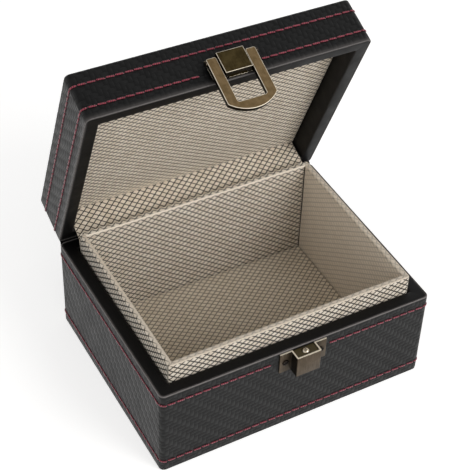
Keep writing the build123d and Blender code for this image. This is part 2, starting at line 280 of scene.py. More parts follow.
def ripple(points: Array, length: float, seed: int) -> Array:
    """Soft unevenness from -1 to 1: the mean of three sine waves across seeded directions.

    Args:
        points: positions in millimetres.
        length: the middle wave's length in millimetres.
        seed: which set of directions and phases.

    Returns:
        One number for each point.
    """
    draw = np.random.default_rng(seed)
    waves = draw.normal(size=(3, 3))
    waves /= np.linalg.norm(waves, axis=1, keepdims=True)
    waves *= 2 * pi / (length * np.array([[0.7], [1.0], [1.6]]))
    return np.sin(points @ waves.T + draw.uniform(0, 2 * pi, 3)).mean(axis=-1)


def path_lengths(line: Array) -> Array:
    """Distance along a line of points, from 0 at its first."""
    return np.concatenate([[0.0], np.cumsum(np.linalg.norm(np.diff(line, axis=0), axis=1))])


@dataclass(frozen=True)
class RoundedLoop:
    """A rectangle with rounded corners, walked anticlockwise from the middle of its back.

    A column of the loop is a place on the centre rectangle plus a unit normal, so a ring is
    centre x (half size - radius) + normal x radius, and rings of any inset share their columns.
    """

    width: float
    depth: float
    radius: float
    long_steps: int = 64
    short_steps: int = 52
    corner_steps: int = 6

    def columns(self) -> tuple[Array, Array, Array, Array, Array]:
        """Lays out the columns.

        Returns:
            Centre factors, normals, the side before and the side after each column's place, and
            how far it has turned from one to the other. A side is its number and place along it.
        """
        centres, normals, before, after, share = [], [], [], [], []
        spans = ((0, 0, 1), (1, -1, 1), (2, -1, 1), (3, -1, 1), (4, -1, 0))
        for side, start, end in spans:
            steps = self.long_steps if side % 2 == 0 else self.short_steps
            steps = steps // 2 if side in (0, 4) else steps
            along = np.linspace(start, end, steps + 1)
            angle = pi / 2 * (side + 1)
            out = np.array([np.cos(angle), np.sin(angle)]).round(12)
            tangent = np.array([-out[1], out[0]])
            centres.append(out + along[:, None] * tangent)
            normals.append(np.broadcast_to(out, (len(along), 2)))
            before.append(np.stack([np.full(len(along), side), along], axis=1))
            after.append(before[-1])
            share.append(np.zeros(len(along)))
            if side < 4:
                turn = np.linspace(0, pi / 2, self.corner_steps + 1)[1:-1]
                full = np.ones(len(turn))
                centres.append(np.broadcast_to(out + tangent, (len(turn), 2)))
                normals.append(np.stack([np.cos(angle + turn), np.sin(angle + turn)], axis=1))
                before.append(np.stack([full * side, full], axis=1))
                after.append(np.stack([full * (side + 1), -full], axis=1))
                share.append(turn / (pi / 2))
        return tuple(np.concatenate(part) for part in (centres, normals, before, after, share))

    def side_middles(self) -> Array:
        """Distance round the loop at the middle of each side, from the back's, for five sides."""
        straights = np.array([self.width, self.depth] * 2 + [self.width]) - 2 * self.radius
        arc = pi / 2 * self.radius
        return np.concatenate([[0], np.cumsum((straights[:-1] + straights[1:]) / 2 + arc)])

    def rings(
        self,
        profile: Array,
        shift: tuple[float, float] = (0.0, 0.0),
        lift: float = 0.0,
        edge: Array | None = None,
        sink: Callable[[Array], Array] | None = None,
        repeat: float = 0.01,
    ) -> Patch:
        """Carries a profile round the loop.

        The distance round is stretched by under one part in a hundred to a whole number of the cloth's
        repeats, so that the pattern meets itself at the back.

        Args:
            profile: rows of (inset, height).
            shift: X and Y of the loop's middle.
            lift: added to the distance along the profile, as the cloth's second coordinate.
            edge: one number for each row, kept on its points.
            sink: depth of unevenness at each point, along the loop's inward normal.
            repeat: length of the cloth's pattern along the loop.

        Returns:
            The swept grid, with distance round the loop and distance along the profile as UV.
        """
        centre, normal, before, after, share = self.columns()
        inset, height = profile[:, 0], profile[:, 1]
        radius = np.maximum(self.radius - inset, 0.3)
        half_x, half_y = self.width / 2 - inset - radius, self.depth / 2 - inset - radius
        x = half_x[:, None] * centre[:, 0] + radius[:, None] * normal[:, 0] + shift[0]
        y = half_y[:, None] * centre[:, 1] + radius[:, None] * normal[:, 1] + shift[1]
        points = np.stack([x, y, np.broadcast_to(height[:, None], x.shape)], axis=-1)
        if sink is not None:
            depth = sink(points)[..., None]
            points[..., :2] -= depth * normal
        middles = self.side_middles()

        def distance(side: Array) -> Array:
            number = side[:, 0].astype(int)
            half = np.where(number % 2 == 0, half_x[:, None], half_y[:, None])
            return middles[number] + side[:, 1] * half

        u = (1 - share) * distance(before) + share * distance(after)
        u = u * round(middles[4] / repeat) * repeat / middles[4]
        v = np.broadcast_to((path_lengths(profile) + lift)[:, None], u.shape)
        edges = None if edge is None else np.broadcast_to(edge[:, None], u.shape)
        return Patch(points, np.stack([u, v], axis=-1), edges)

    def walk(self, distances: Array) -> tuple[Array, Array]:
        """Finds places on the loop.

        Args:
            distances: millimetres round the loop from the back's middle.

        Returns:
            Positions and outward unit normals, each as X and Y.
        """
        ring = self.rings(np.array([[0.0, 0.0]]))
        u = ring.uv[0, :, 0]
        normal = self.columns()[1]
        place = [np.interp(distances, u, ring.points[0, :, i]) for i in range(2)]
        out = [np.interp(distances, u, normal[:, i]) for i in range(2)]
        return np.stack(place, axis=-1), np.stack(out, axis=-1)


def inward_offset(outline: Array, depth: float) -> Array:
    """Moves an anticlockwise outline inwards: each corner goes along the mean of its two inward
    normals, divided by one plus their product, so that both edges move by the same depth."""
    ahead = np.roll(outline, -1, axis=0) - outline
    ahead /= np.linalg.norm(ahead, axis=1, keepdims=True)
    inward = np.stack([-ahead[:, 1], ahead[:, 0]], axis=1)
    behind = np.roll(inward, 1, axis=0)
    product = (inward * behind).sum(axis=1, keepdims=True)
    return outline + depth * (inward + behind) / (1 + product)


def rounded_outline(corners: Sequence[tuple[float, float, float]], steps: int = 5) -> Array:
    """An anticlockwise outline whose corners are arcs.

    An arc of radius r starts r x tan(turn / 2) before its corner, and its points are the corner
    moved along the two edges by the arc's own formula, centre + radius x direction.

    Args:
        corners: X, Y and radius of each corner.
        steps: spans in each arc.

    Returns:
        The outline's points.
    """
    made = []
    places = np.array([c[:2] for c in corners], float)
    for k, (_, _, radius) in enumerate(corners):
        here = places[k]
        if radius <= 0:
            made.append(here[None])
            continue
        back, on = places[k - 1] - here, places[(k + 1) % len(corners)] - here
        back, on = back / np.linalg.norm(back), on / np.linalg.norm(on)
        half = np.arccos(np.clip(back @ on, -1, 1)) / 2
        reach = radius / np.tan(half)
        centre = here + (back + on) / np.linalg.norm(back + on) * radius / np.sin(half)
        first, last = here + back * reach - centre, here + on * reach - centre
        start = np.arctan2(first[1], first[0])
        sweep = (np.arctan2(last[1], last[0]) - start + pi) % (2 * pi) - pi
        angle = start + np.linspace(0, sweep, steps + 1)
        made.append(centre + radius * np.stack([np.cos(angle), np.sin(angle)], axis=1))
    return np.concatenate(made)


def bevelled_prism(
    outline: Array,
    low: float,
    high: float,
    bevel: float,
    place: Callable[[Array, Array, Array], Array],
    low_bevel: float = 0.12,
    rub: float = 0.12,
    side: float | Array = -1.0,
    face: float = 0.0,
) -> tuple[list[Patch], list[Cap]]:
    """A plate cut to an outline, with rounded edges.

    Its side is rings of the outline: a ring at angle a of the bevel is inset by bevel x (1 - cos a)
    and stands bevel x (1 - sin a) below the face. One more ring inside ends the pale edge band, which is
    partly wear and partly a painted highlight.

    Args:
        outline: anticlockwise points of the full outline.
        low: the height where it starts.
        high: the height where it ends.
        bevel: radius of the upper edge.
        place: turns the outline's two coordinates and a height into positions.
        low_bevel: radius of the lower edge.
        rub: width of the band inside the upper edge where its pale wear and painted highlight end.
        side: mark of the side, for all of it or for each point: -1 is painted shade in the dark side
            colour, and 1 is pale bare metal, partly a painted highlight.
        face: wear and painted highlight of the upper face.

    Returns:
        The patches and the two caps.
    """
    turn = np.linspace(0, pi / 2, 4)
    lower = np.stack([low_bevel * (1 - np.cos(turn)), low + low_bevel * (1 - np.sin(turn))], axis=1)
    upper = np.stack([bevel * (1 - np.cos(turn)), high - bevel * (1 - np.sin(turn))], axis=1)
    inner = np.array([[bevel + rub, high]])
    levels = np.concatenate([lower[::-1], upper, inner])
    # Side marks below zero are painted shade: the dark side colour.
    worn = np.broadcast_to(side, len(outline))
    edges = np.empty((len(levels), len(outline) + 1))
    edges[:] = np.append(worn, worn[0])
    # The upper bevel's rings are marked fully pale: partly wear, partly a painted highlight.
    edges[5:] = np.array([1.0, 1.0, 0.9, face])[:, None]
    rings = [inward_offset(outline, inset) for inset, _ in levels]
    closed = np.stack([np.concatenate([ring, ring[:1]]) for ring in rings])
    heights = np.broadcast_to(levels[:, 1][:, None], closed.shape[:2])
    along = path_lengths(closed[0])
    side_uv = np.stack(np.broadcast_arrays(along[None, :], heights), axis=-1)
    points = place(closed[..., 0], closed[..., 1], heights)
    face_uv = closed[-2:]
    patches = [
        Patch(points[:-1], side_uv[:-1], edges[:-1]),
        Patch(points[-2:], face_uv, edges[-2:]),
    ]
    caps = [
        Cap(points[0, :-1][::-1], closed[0, :-1][::-1], edges[0, :-1]),
        Cap(points[-1, :-1], closed[-1, :-1], edges[-1, :-1]),
    ]
    return patches, caps


# ================================================================ materials


def linear(colour: str) -> tuple[float, float, float, float]:
    """An sRGB hex colour as the linear colour that Blender works in."""
    srgb = np.array([int(colour[i : i + 2], 16) for i in (1, 3, 5)]) / 255
    value = np.where(srgb <= 0.04045, srgb / 12.92, ((srgb + 0.055) / 1.055) ** 2.4)
    return (*(float(v) for v in value), 1.0)


class Graph:
    """A node tree being filled."""

    def __init__(self, tree: bpy.types.NodeTree) -> None:
        """Starts an empty tree."""
        self.tree = tree
        tree.nodes.clear()

    def add(self, kind: str, *values: Any, out: str | int = 0, **settings: Any) -> Any:
        """Adds a node with its settings and links.

        Args:
            kind: the node's type after "ShaderNode".
            values: what goes into its first inputs in order, as sockets or constants; None skips one.
            out: the output to return, by number among the enabled ones or by name.
            settings: inputs by name if it starts with a capital, else the node's own settings.

        Returns:
            The chosen output socket.
        """
        node = self.tree.nodes.new("ShaderNode" + kind)
        named = {k: v for k, v in settings.items() if k[0].isupper()}
        for key, value in settings.items():
            if key not in named:
                setattr(node, key, value)
        sockets = [s for s in node.inputs if s.enabled]
        pairs = list(zip(sockets, values))
        for key, value in named.items():
            found = next(s for s in sockets if s.name == key.replace("_", " "))
            pairs.append((found, value))
        for socket, value in pairs:
            if isinstance(value, bpy.types.NodeSocket):
                self.tree.links.new(value, socket)
            elif value is not None:
                socket.default_value = value
        outputs = [s for s in node.outputs if s.enabled]
        if isinstance(out, str):
            return next((s for s in outputs if s.name == out), None)
        return outputs[out] if outputs else None


@dataclass(frozen=True)
class Finish:
    """A surface finish: its slot in the part's record, and its material, made once."""

    slot: str
    made: dict = field(default_factory=dict, compare=False, repr=False)

    def material(self) -> bpy.types.Material:
        """The finish's material."""
        if "material" not in self.made:
            material = bpy.data.materials.new(self.slot)
            material.use_nodes = True
            graph = Graph(material.node_tree)
            graph.add("OutputMaterial", self.surface(graph))
            self.made["material"] = material
        return self.made["material"]

    def surface(self, graph: Graph) -> Any:
        """Adds the finish's nodes and returns the shader socket."""
        raise NotImplementedError


@dataclass(frozen=True)
class EmbossedLeathercloth(Finish):
    """Polyurethane-coated cloth, hot-embossed with a two-by-two twill of flat tows.

    Each tow floats over two others and dives under two, one step further along in the next, so
    low light picks out short slanting ribs. The coating is nearly black with a satin gloss.
    """

    tow: float = 1.92
    ground: str = "#0d0d0d"
    raised: str = "#171717"
    # pale grey for the rolled edges: a painted highlight
    worn: str = "#787371"
    relief: float = 0.18
    roughness: float = 0.4

    def surface(self, graph: Graph) -> Any:
        """The twill: where (whole s + t) modulo 4 is under 2 the upright tow is on top, and its height
        is the sine across it times the sine along its float. The other tow is the same with s and t
        swapped and 2 taken off, and the higher of the two shows."""
        add = graph.add
        cloth = add("UVMap", uv_map=SURFACE)
        place = add("VectorMath", cloth, (1 / self.tow, 1 / self.tow, 0), operation="MULTIPLY")
        whole = add("VectorMath", place, operation="FLOOR")
        part = add("VectorMath", place, operation="FRACTION")
        s, t = (add("SeparateXYZ", place, out=i) for i in (0, 1))
        i, j = (add("SeparateXYZ", whole, out=n) for n in (0, 1))
        fs, ft = (add("SeparateXYZ", part, out=n) for n in (0, 1))
        heights, lines = [], []
        for along, step, across, sign in ((t, i, fs, 1.0), (s, j, ft, -1.0)):
            total = add("Math", along, step, operation="ADD")
            phase = add("Math", total, 4.0, operation="FLOORED_MODULO")
            half_turn = add("Math", phase, pi / 2, operation="MULTIPLY")
            float_rise = add("Math", half_turn, operation="SINE")
            signed = add("Math", float_rise, sign, operation="MULTIPLY")
            width = add("Math", across, pi, operation="MULTIPLY")
            crown = add("Math", add("Math", width, operation="SINE"), 0.5, operation="POWER")
            heights.append(add("Math", signed, crown, operation="MULTIPLY"))
            fibres = add("Math", across, 14 * pi, operation="MULTIPLY")
            lines.append(add("Math", fibres, operation="SINE"))
        tows = add("Math", heights[0], heights[1], operation="MAXIMUM")
        upright = add("Math", heights[0], heights[1], operation="GREATER_THAN")
        fibre = add("Mix", upright, lines[1], lines[0])
        own = add("TexCoord", out="Object")
        mottle = add("TexNoise", own, Scale=90.0, Detail=4.0, out="Fac")
        pores = add("TexNoise", own, Scale=2600.0, Detail=2.0, out="Fac")
        depth = add("MapRange", tows, 0.0, 0.85, 0.0, 1.0)
        colour = add(
            "Mix", depth, data_type="RGBA", A=linear(self.ground), B=linear(self.raised)
        )
        shade = add("MapRange", mottle, 0.3, 0.7, 0.82, 1.12)
        tint = add("Mix", 1.0, data_type="RGBA", blend_type="MULTIPLY", A=colour, B=shade)
        gloss = add("Mix", upright, self.roughness + 0.10, self.roughness)
        gloss = add("Math", gloss, add("MapRange", mottle, 0.3, 0.7, -0.04, 0.05), operation="ADD")
        # Where the edge attribute is raised, on the rolled edges, the colour turns pale grey and the
        # roughness drops: the grey is a painted highlight.
        rub = add("Attribute", attribute_name=EDGE, out="Fac")
        gloss = add("Mix", rub, gloss, 0.24)
        tint = add("Mix", rub, data_type="RGBA", A=tint, B=linear(self.worn))
        emboss = add("Bump", 0.8, self.relief * MM, Height=tows)
        threads = add("Bump", 0.45, 0.012 * MM, Height=fibre, Normal=emboss)
        normal = add("Bump", 0.35, 0.01 * MM, Height=pores, Normal=threads)
        return add("BsdfPrincipled", Base_Color=tint, Roughness=gloss, Normal=normal, IOR=1.29)


@dataclass(frozen=True)
class SmoothLeathercloth(Finish):
    """The same coated cloth without the emboss: black, with a fine pore grain and soft gloss.

    It is pulled tight over the rims, and its edges are lightened towards grey: a painted highlight.
    """

    colour: str = "#090808"
    # pale grey for the edges: a painted highlight
    worn: str = "#575351"
    grain: float = 0.45
    roughness: float = 0.5

    def surface(self, graph: Graph) -> Any:
        """Cells of about the grain's size give the pores, and large noise varies the gloss and breaks up
        the edges' painted highlight.
        """
        add = graph.add
        own = add("TexCoord", out="Object")
        pores = add("TexVoronoi", own, Scale=1 / (self.grain * MM), out="Distance")
        wave = add("TexNoise", own, Scale=160.0, Detail=3.0, out="Fac")
        edge = add("Attribute", attribute_name=EDGE, out="Fac")
        # Edge marks times noise: how much of the painted highlight shows.
        rub = add("Math", edge, add("MapRange", wave, 0.35, 0.65, 0.3, 1.0), operation="MULTIPLY")
        colour = add("Mix", rub, data_type="RGBA", A=linear(self.colour), B=linear(self.worn))
        gloss = add("MapRange", wave, 0.3, 0.7, self.roughness - 0.06, self.roughness + 0.08)
        grain = add("Bump", 0.5, 0.03 * MM, Height=pores)
        normal = add("Bump", 0.5, 0.15 * MM, Height=wave, Normal=grain)
        return add("BsdfPrincipled", Base_Color=colour, Roughness=gloss, Normal=normal, IOR=1.27)


@dataclass(frozen=True)
class WovenLining(Finish):
    """Polyester lining woven with flat slanting floats over a dark ground.

    The floats read as pale cushions in a diamond lattice with thin dark lines between them, and
    each float shows the few fine threads it is made of.
    """

    across: float = 0.267
    up: float = 0.358
    pale: str = "#f3e7d5"
    warm: str = "#e3d5c0"
    ground: str = "#191109"
    plain: str = "#e9dbc5"
    # bright colour of fold edges: a painted highlight
    bright: str = "#fff4e4"
    relief: float = 0.16

    def surface(self, graph: Graph) -> Any:
        """Two slanting counts, across x u + up x v and across x u - up x v, are whole numbers on the
        lattice's lines. A float's height is the smaller of the two sines of pi times the counts."""
        add = graph.add
        cloth = add("UVMap", uv_map=SURFACE)
        own = add("TexCoord", out="Object")
        drift = add("TexNoise", own, Scale=110.0, Detail=2.0, out="Color")
        wander = add("VectorMath", drift, (0.5, 0.5, 0.5), operation="SUBTRACT")
        moved = add("VectorMath", wander, (0.5, 0.5, 0.0), cloth, operation="MULTIPLY_ADD")
        counts, ridges = [], []
        for sign in (1.0, -1.0):
            count = add(
                "VectorMath", moved, (self.across, sign * self.up, 0), operation="DOT_PRODUCT", out="Value"
            )
            wave = add("Math", add("Math", count, pi, operation="MULTIPLY"), operation="SINE")
            counts.append(count)
            ridges.append(add("Math", wave, operation="ABSOLUTE"))
        floats = add("Math", ridges[0], ridges[1], operation="MINIMUM")
        cell = add(
            "CombineXYZ",
            add("Math", counts[0], operation="FLOOR"),
            add("Math", counts[1], operation="FLOOR"),
        )
        lot = add("TexWhiteNoise", cell, out="Value")
        threads = add("Math", add("Math", counts[0], 12 * pi, operation="MULTIPLY"), operation="SINE")
        pull_and_painted_light = add("Attribute", attribute_name=EDGE, out="Fac")
        stretched = add("Math", pull_and_painted_light, 0.0, operation="MAXIMUM")
        # Marks below zero widen the dark gaps: painted shade, standing in for the weave's own shadow at a
        # grazing view.
        widened_gap_shade = add("MapRange", pull_and_painted_light, -1.0, 0.0, 0.16, 0.0)
        gap = add("MapRange", add("Math", floats, widened_gap_shade, operation="SUBTRACT"), 0.17, 0.42, 0.0, 1.0)
        filled = add("Math", gap, stretched, operation="MAXIMUM")
        tone = add("Mix", lot, data_type="RGBA", A=linear(self.pale), B=linear(self.warm))
        tone = add("Mix", stretched, data_type="RGBA", A=tone, B=linear(self.plain))
        # Marks from 1 to 2 turn the tone to the bright colour: a painted highlight.
        crest_highlight = add("MapRange", pull_and_painted_light, 1.0, 2.0, 0.0, 1.0)
        tone = add("Mix", crest_highlight, data_type="RGBA", A=tone, B=linear(self.bright))
        # A mark of -2 leaves only the dark ground: painted shade in a crease.
        crease_shade = add("MapRange", pull_and_painted_light, -2.0, -1.0, 0.0, 1.0)
        filled = add("Math", filled, crease_shade, operation="MULTIPLY")
        colour = add("Mix", filled, data_type="RGBA", A=linear(self.ground), B=tone)
        line = add("MapRange", threads, -1.0, 1.0, 0.86, 1.04)
        colour = add("Mix", 1.0, data_type="RGBA", blend_type="MULTIPLY", A=colour, B=line)
        flat = add("Math", 1.0, stretched, operation="SUBTRACT")
        height = add("Math", add("Math", floats, 0.6, operation="POWER"), flat, operation="MULTIPLY")
        weave = add("Bump", 0.9, self.relief * MM, Height=height)
        normal = add("Bump", 0.5, 0.03 * MM, Height=threads, Normal=weave)
        return add(
            "BsdfPrincipled",
            Base_Color=colour,
            Roughness=0.88,
            Normal=normal,
            Specular_IOR_Level=0.25,
            Sheen_Weight=0.12,
            Sheen_Roughness=0.5,
        )


@dataclass(frozen=True)
class PolyesterThread(Finish):
    """Two-ply red polyester sewing thread, with a silky line along each ply."""

    colour: str = "#a33349"
    shade: str = "#4f121c"
    ply_pitch: float = 0.9

    def surface(self, graph: Graph) -> Any:
        """The plies are a sine of distance along the stitch plus turns round it."""
        add = graph.add
        cloth = add("UVMap", uv_map=SURFACE)
        turns = add(
            "VectorMath", cloth, (2 * pi / self.ply_pitch, 2 * pi, 0), operation="DOT_PRODUCT", out="Value"
        )
        ply = add("Math", turns, operation="SINE")
        own = add("TexCoord", out="Object")
        batch = add("TexNoise", own, Scale=700.0, Detail=2.0, out="Fac")
        depth = add("MapRange", ply, -1.0, 0.2, 0.0, 1.0)
        lot = add("Math", depth, add("MapRange", batch, 0.35, 0.65, 0.6, 1.0), operation="MULTIPLY")
        colour = add("Mix", lot, data_type="RGBA", A=linear(self.shade), B=linear(self.colour))
        normal = add("Bump", 0.8, 0.06 * MM, Height=ply)
        return add(
            "BsdfPrincipled",
            Base_Color=colour,
            Roughness=0.36,
            Normal=normal,
            Sheen_Weight=0.6,
            Sheen_Roughness=0.35,
        )


@dataclass(frozen=True)
class AntiqueBronze(Finish):
    """Brass-plated stamped steel, darkened and then brushed back.

    The flats stay a dull olive brown with long brush lines and darker clouds. The high edges are
    pale brass, partly rubbed through and partly a painted highlight, and the sides are darkened as
    painted shade.
    """

    flat: str = "#a58c67"
    dark: str = "#786343"
    # dark colour of the sides: painted shade
    side: str = "#1d170d"
    # pale brass of the edges: partly wear, partly a painted highlight
    worn: str = "#efe4cf"
    clouding: float = 0.5
    brush: float = 0.12
    roughness: float = 0.36

    def surface(self, graph: Graph) -> Any:
        """Brush lines are noise squeezed to the brush's width across them and drawn out 60 times along."""
        add = graph.add
        cloth = add("UVMap", uv_map=SURFACE)
        own = add("TexCoord", out="Object")
        fine = 1 / self.brush
        lines = add(
            "TexNoise",
            add("VectorMath", cloth, (fine, fine / 60, 0), operation="MULTIPLY"),
            Scale=1.0,
            Detail=4.0,
            out="Fac",
        )
        clouds = add("TexNoise", own, Scale=320.0, Detail=5.0, Roughness=0.62, out="Fac")
        edge = add("Attribute", attribute_name=EDGE, out="Fac")
        ragged = add("Math", edge, add("MapRange", clouds, 0.3, 0.6, -0.25, 0.15), operation="ADD")
        rub = add("MapRange", ragged, 0.45, 0.85, 0.0, 1.0)
        streak = add("MapRange", lines, 0.3, 0.7, 0.0, 1.0)
        patina = add("MapRange", clouds, 0.38, 0.62, 0.0, 1.0)
        blend = add("Mix", self.clouding, streak, patina)
        colour = add("Mix", blend, data_type="RGBA", A=linear(self.dark), B=linear(self.flat))
        # Sides marked below zero take the dark side colour: painted shade.
        painted_side_shade = add("MapRange", edge, -1.0, -0.05, 1.0, 0.0)
        colour = add("Mix", painted_side_shade, data_type="RGBA", A=colour, B=linear(self.side))
        # The rubbed band turns pale brass: partly wear, partly a painted highlight.
        colour = add("Mix", rub, data_type="RGBA", A=colour, B=linear(self.worn))
        metal = add("MapRange", rub, 0.0, 1.0, 1.0, 0.55)
        gloss = add("MapRange", streak, 0.0, 1.0, self.roughness + 0.12, self.roughness)
        normal = add("Bump", 0.35, 0.01 * MM, Height=lines)
        return add(
            "BsdfPrincipled", Base_Color=colour, Metallic=metal, Roughness=gloss, Normal=normal
        )


@dataclass(frozen=True)
class AgedBronze(Finish):
    """The same plating on small turned parts, on their own coordinates: dark with rubbed spots."""

    flat: str = "#61564a"
    dark: str = "#2a241c"
    worn: str = "#c7baa9"

    def surface(self, graph: Graph) -> Any:
        """Noise of about half a millimetre chooses between dark plating and rubbed metal."""
        add = graph.add
        own = add("TexCoord", out="Object")
        clouds = add("TexNoise", own, Scale=1500.0, Detail=4.0, out="Fac")
        patches = add("TexNoise", own, Scale=420.0, Detail=3.0, out="Fac")
        colour = add(
            "Mix",
            add("MapRange", clouds, 0.35, 0.65, 0.0, 1.0),
            data_type="RGBA",
            A=linear(self.dark),
            B=linear(self.flat),
        )
        rub = add("MapRange", patches, 0.56, 0.68, 0.0, 0.7)
        colour = add("Mix", rub, data_type="RGBA", A=colour, B=linear(self.worn))
        gloss = add("MapRange", clouds, 0.3, 0.7, 0.30, 0.48)
        normal = add("Bump", 0.3, 0.02 * MM, Height=clouds)
        return add(
            "BsdfPrincipled", Base_Color=colour, Metallic=1.0, Roughness=gloss, Normal=normal
        )


@dataclass(frozen=True)
class GroundSteel(Finish):
    """Bare steel, ground or drawn: a grey mirror softened by scratches finer than the eye splits."""

    colour: str = "#c9c9cb"
    roughness: float = 0.12
    scratch: float = 0.15

    def surface(self, graph: Graph) -> Any:
        """Noise of the scratch's size varies the roughness and tips the surface slightly."""
        add = graph.add
        own = add("TexCoord", out="Object")
        scratches = add("TexNoise", own, Scale=1 / (self.scratch * MM), Detail=3.0, out="Fac")
        smears = add("TexNoise", own, Scale=900.0, Detail=2.0, out="Fac")
        gloss = add("MapRange", scratches, 0.3, 0.7, self.roughness * 0.7, self.roughness * 1.6)
        colour = add(
            "Mix", smears, data_type="RGBA", A=linear(self.colour), B=linear("#9a9a9e")
        )
        normal = add("Bump", 0.15, 0.004 * MM, Height=scratches)
        return add(
            "BsdfPrincipled", Base_Color=colour, Metallic=1.0, Roughness=gloss, Normal=normal
        )


@dataclass(frozen=True)
class Speckled(Finish):
    """A dull sheet or moulding whose colour and surface vary in grains of a real size.

    It serves the fibreboard, the greyboard, the bonded cover sheet, the foam and the moulded acetal,
    each with its own two colours, grain, roughness and relief.
    """

    light: str = "#a98b62"
    dark: str = "#7c6242"
    grain: float = 0.8
    roughness: float = 0.85
    relief: float = 0.05
    metallic: float = 0.0

    def surface(self, graph: Graph) -> Any:
        """Cell noise gives the grains and smooth noise three times coarser gives their clouding."""
        add = graph.add
        own = add("TexCoord", out="Object")
        grains = add("TexVoronoi", own, Scale=1 / (self.grain * MM), out="Distance")
        clouds = add("TexNoise", own, Scale=1 / (3 * self.grain * MM), Detail=3.0, out="Fac")
        mix = add("Math", add("Math", grains, clouds, operation="ADD"), 0.55, operation="MULTIPLY")
        colour = add("Mix", mix, data_type="RGBA", A=linear(self.light), B=linear(self.dark))
        gloss = add("MapRange", clouds, 0.3, 0.7, self.roughness - 0.05, self.roughness + 0.05)
        normal = add("Bump", 0.6, self.relief * MM, Height=grains)
        return add(
            "BsdfPrincipled",
            Base_Color=colour,
            Metallic=self.metallic,
            Roughness=gloss,
            Normal=normal,
        )


@dataclass(frozen=True)
class ShieldFabric(Finish):
    """Nickel and copper plated polyester ripstop, the layer that blocks the signal."""

    thread: float = 0.35
    colour: str = "#9b9489"
    gap: str = "#4d4841"

    def surface(self, graph: Graph) -> Any:
        """A plain weave: the product of two sines at the thread's spacing, on object coordinates."""
        add = graph.add
        own = add("TexCoord", out="Object")
        scaled = add("VectorMath", own, (pi / (self.thread * MM),) * 3, operation="MULTIPLY")
        wave = add("VectorMath", scaled, operation="SINE")
        x, y, z = (add("SeparateXYZ", wave, out=n) for n in range(3))
        weave = add("Math", add("Math", x, y, operation="ADD"), z, operation="MULTIPLY")
        level = add("MapRange", weave, -1.0, 1.0, 0.0, 1.0)
        colour = add("Mix", level, data_type="RGBA", A=linear(self.gap), B=linear(self.colour))
        normal = add("Bump", 0.5, 0.05 * MM, Height=weave)
        return add(
            "BsdfPrincipled", Base_Color=colour, Metallic=0.8, Roughness=0.45, Normal=normal
        )


class Finishes:
    """Every finish of the box, by its slot."""

    leather = EmbossedLeathercloth("leathercloth")
    smooth = SmoothLeathercloth("smooth_leathercloth")
    lining = WovenLining("lining")
    tray = WovenLining("lining", pale="#f2e8d8", warm="#e2d5c2", plain="#e9dbc8")
    thread = PolyesterThread("thread")
    bronze = AntiqueBronze("antique_bronze")
    block = AntiqueBronze("antique_bronze", {}, "#665838", "#3b301a")
    keeper = AntiqueBronze("antique_bronze", {}, "#685c4e", "#3b3227", clouding=0.25)
    aged = AgedBronze("antique_bronze")
    screw = AgedBronze("antique_bronze", {}, "#2e2823", "#14110e", "#8d8478")
    nodes = {
        "leathercloth": leather,
        "smooth_leathercloth": smooth,
        "lining": lining,
        "thread": thread,
        "antique_bronze": aged,
        "ball_steel": GroundSteel("ball_steel", {}, "#c8b795", roughness=0.06, scratch=0.3),
        "spring_steel": GroundSteel("spring_steel", colour="#a7a7aa", roughness=0.25),
        "black_acetal": Speckled("black_acetal", {}, "#4e411a", "#2f2710", 0.3, 0.42, 0.01),
        "board": Speckled("board", {}, "#b3936a", "#84683f", 0.7, 0.88, 0.05),
        "card": Speckled("card", {}, "#a39d92", "#817b70", 0.4, 0.9, 0.03),
        "cover_sheet": Speckled("cover_sheet", {}, "#1f1f20", "#121213", 0.35, 0.8, 0.06),
        "foam": Speckled("foam", {}, "#8f8d88", "#5f5d59", 0.6, 0.95, 0.2),
        "shielding": ShieldFabric("shielding"),
    }


# ================================================================ leather wraps and rims


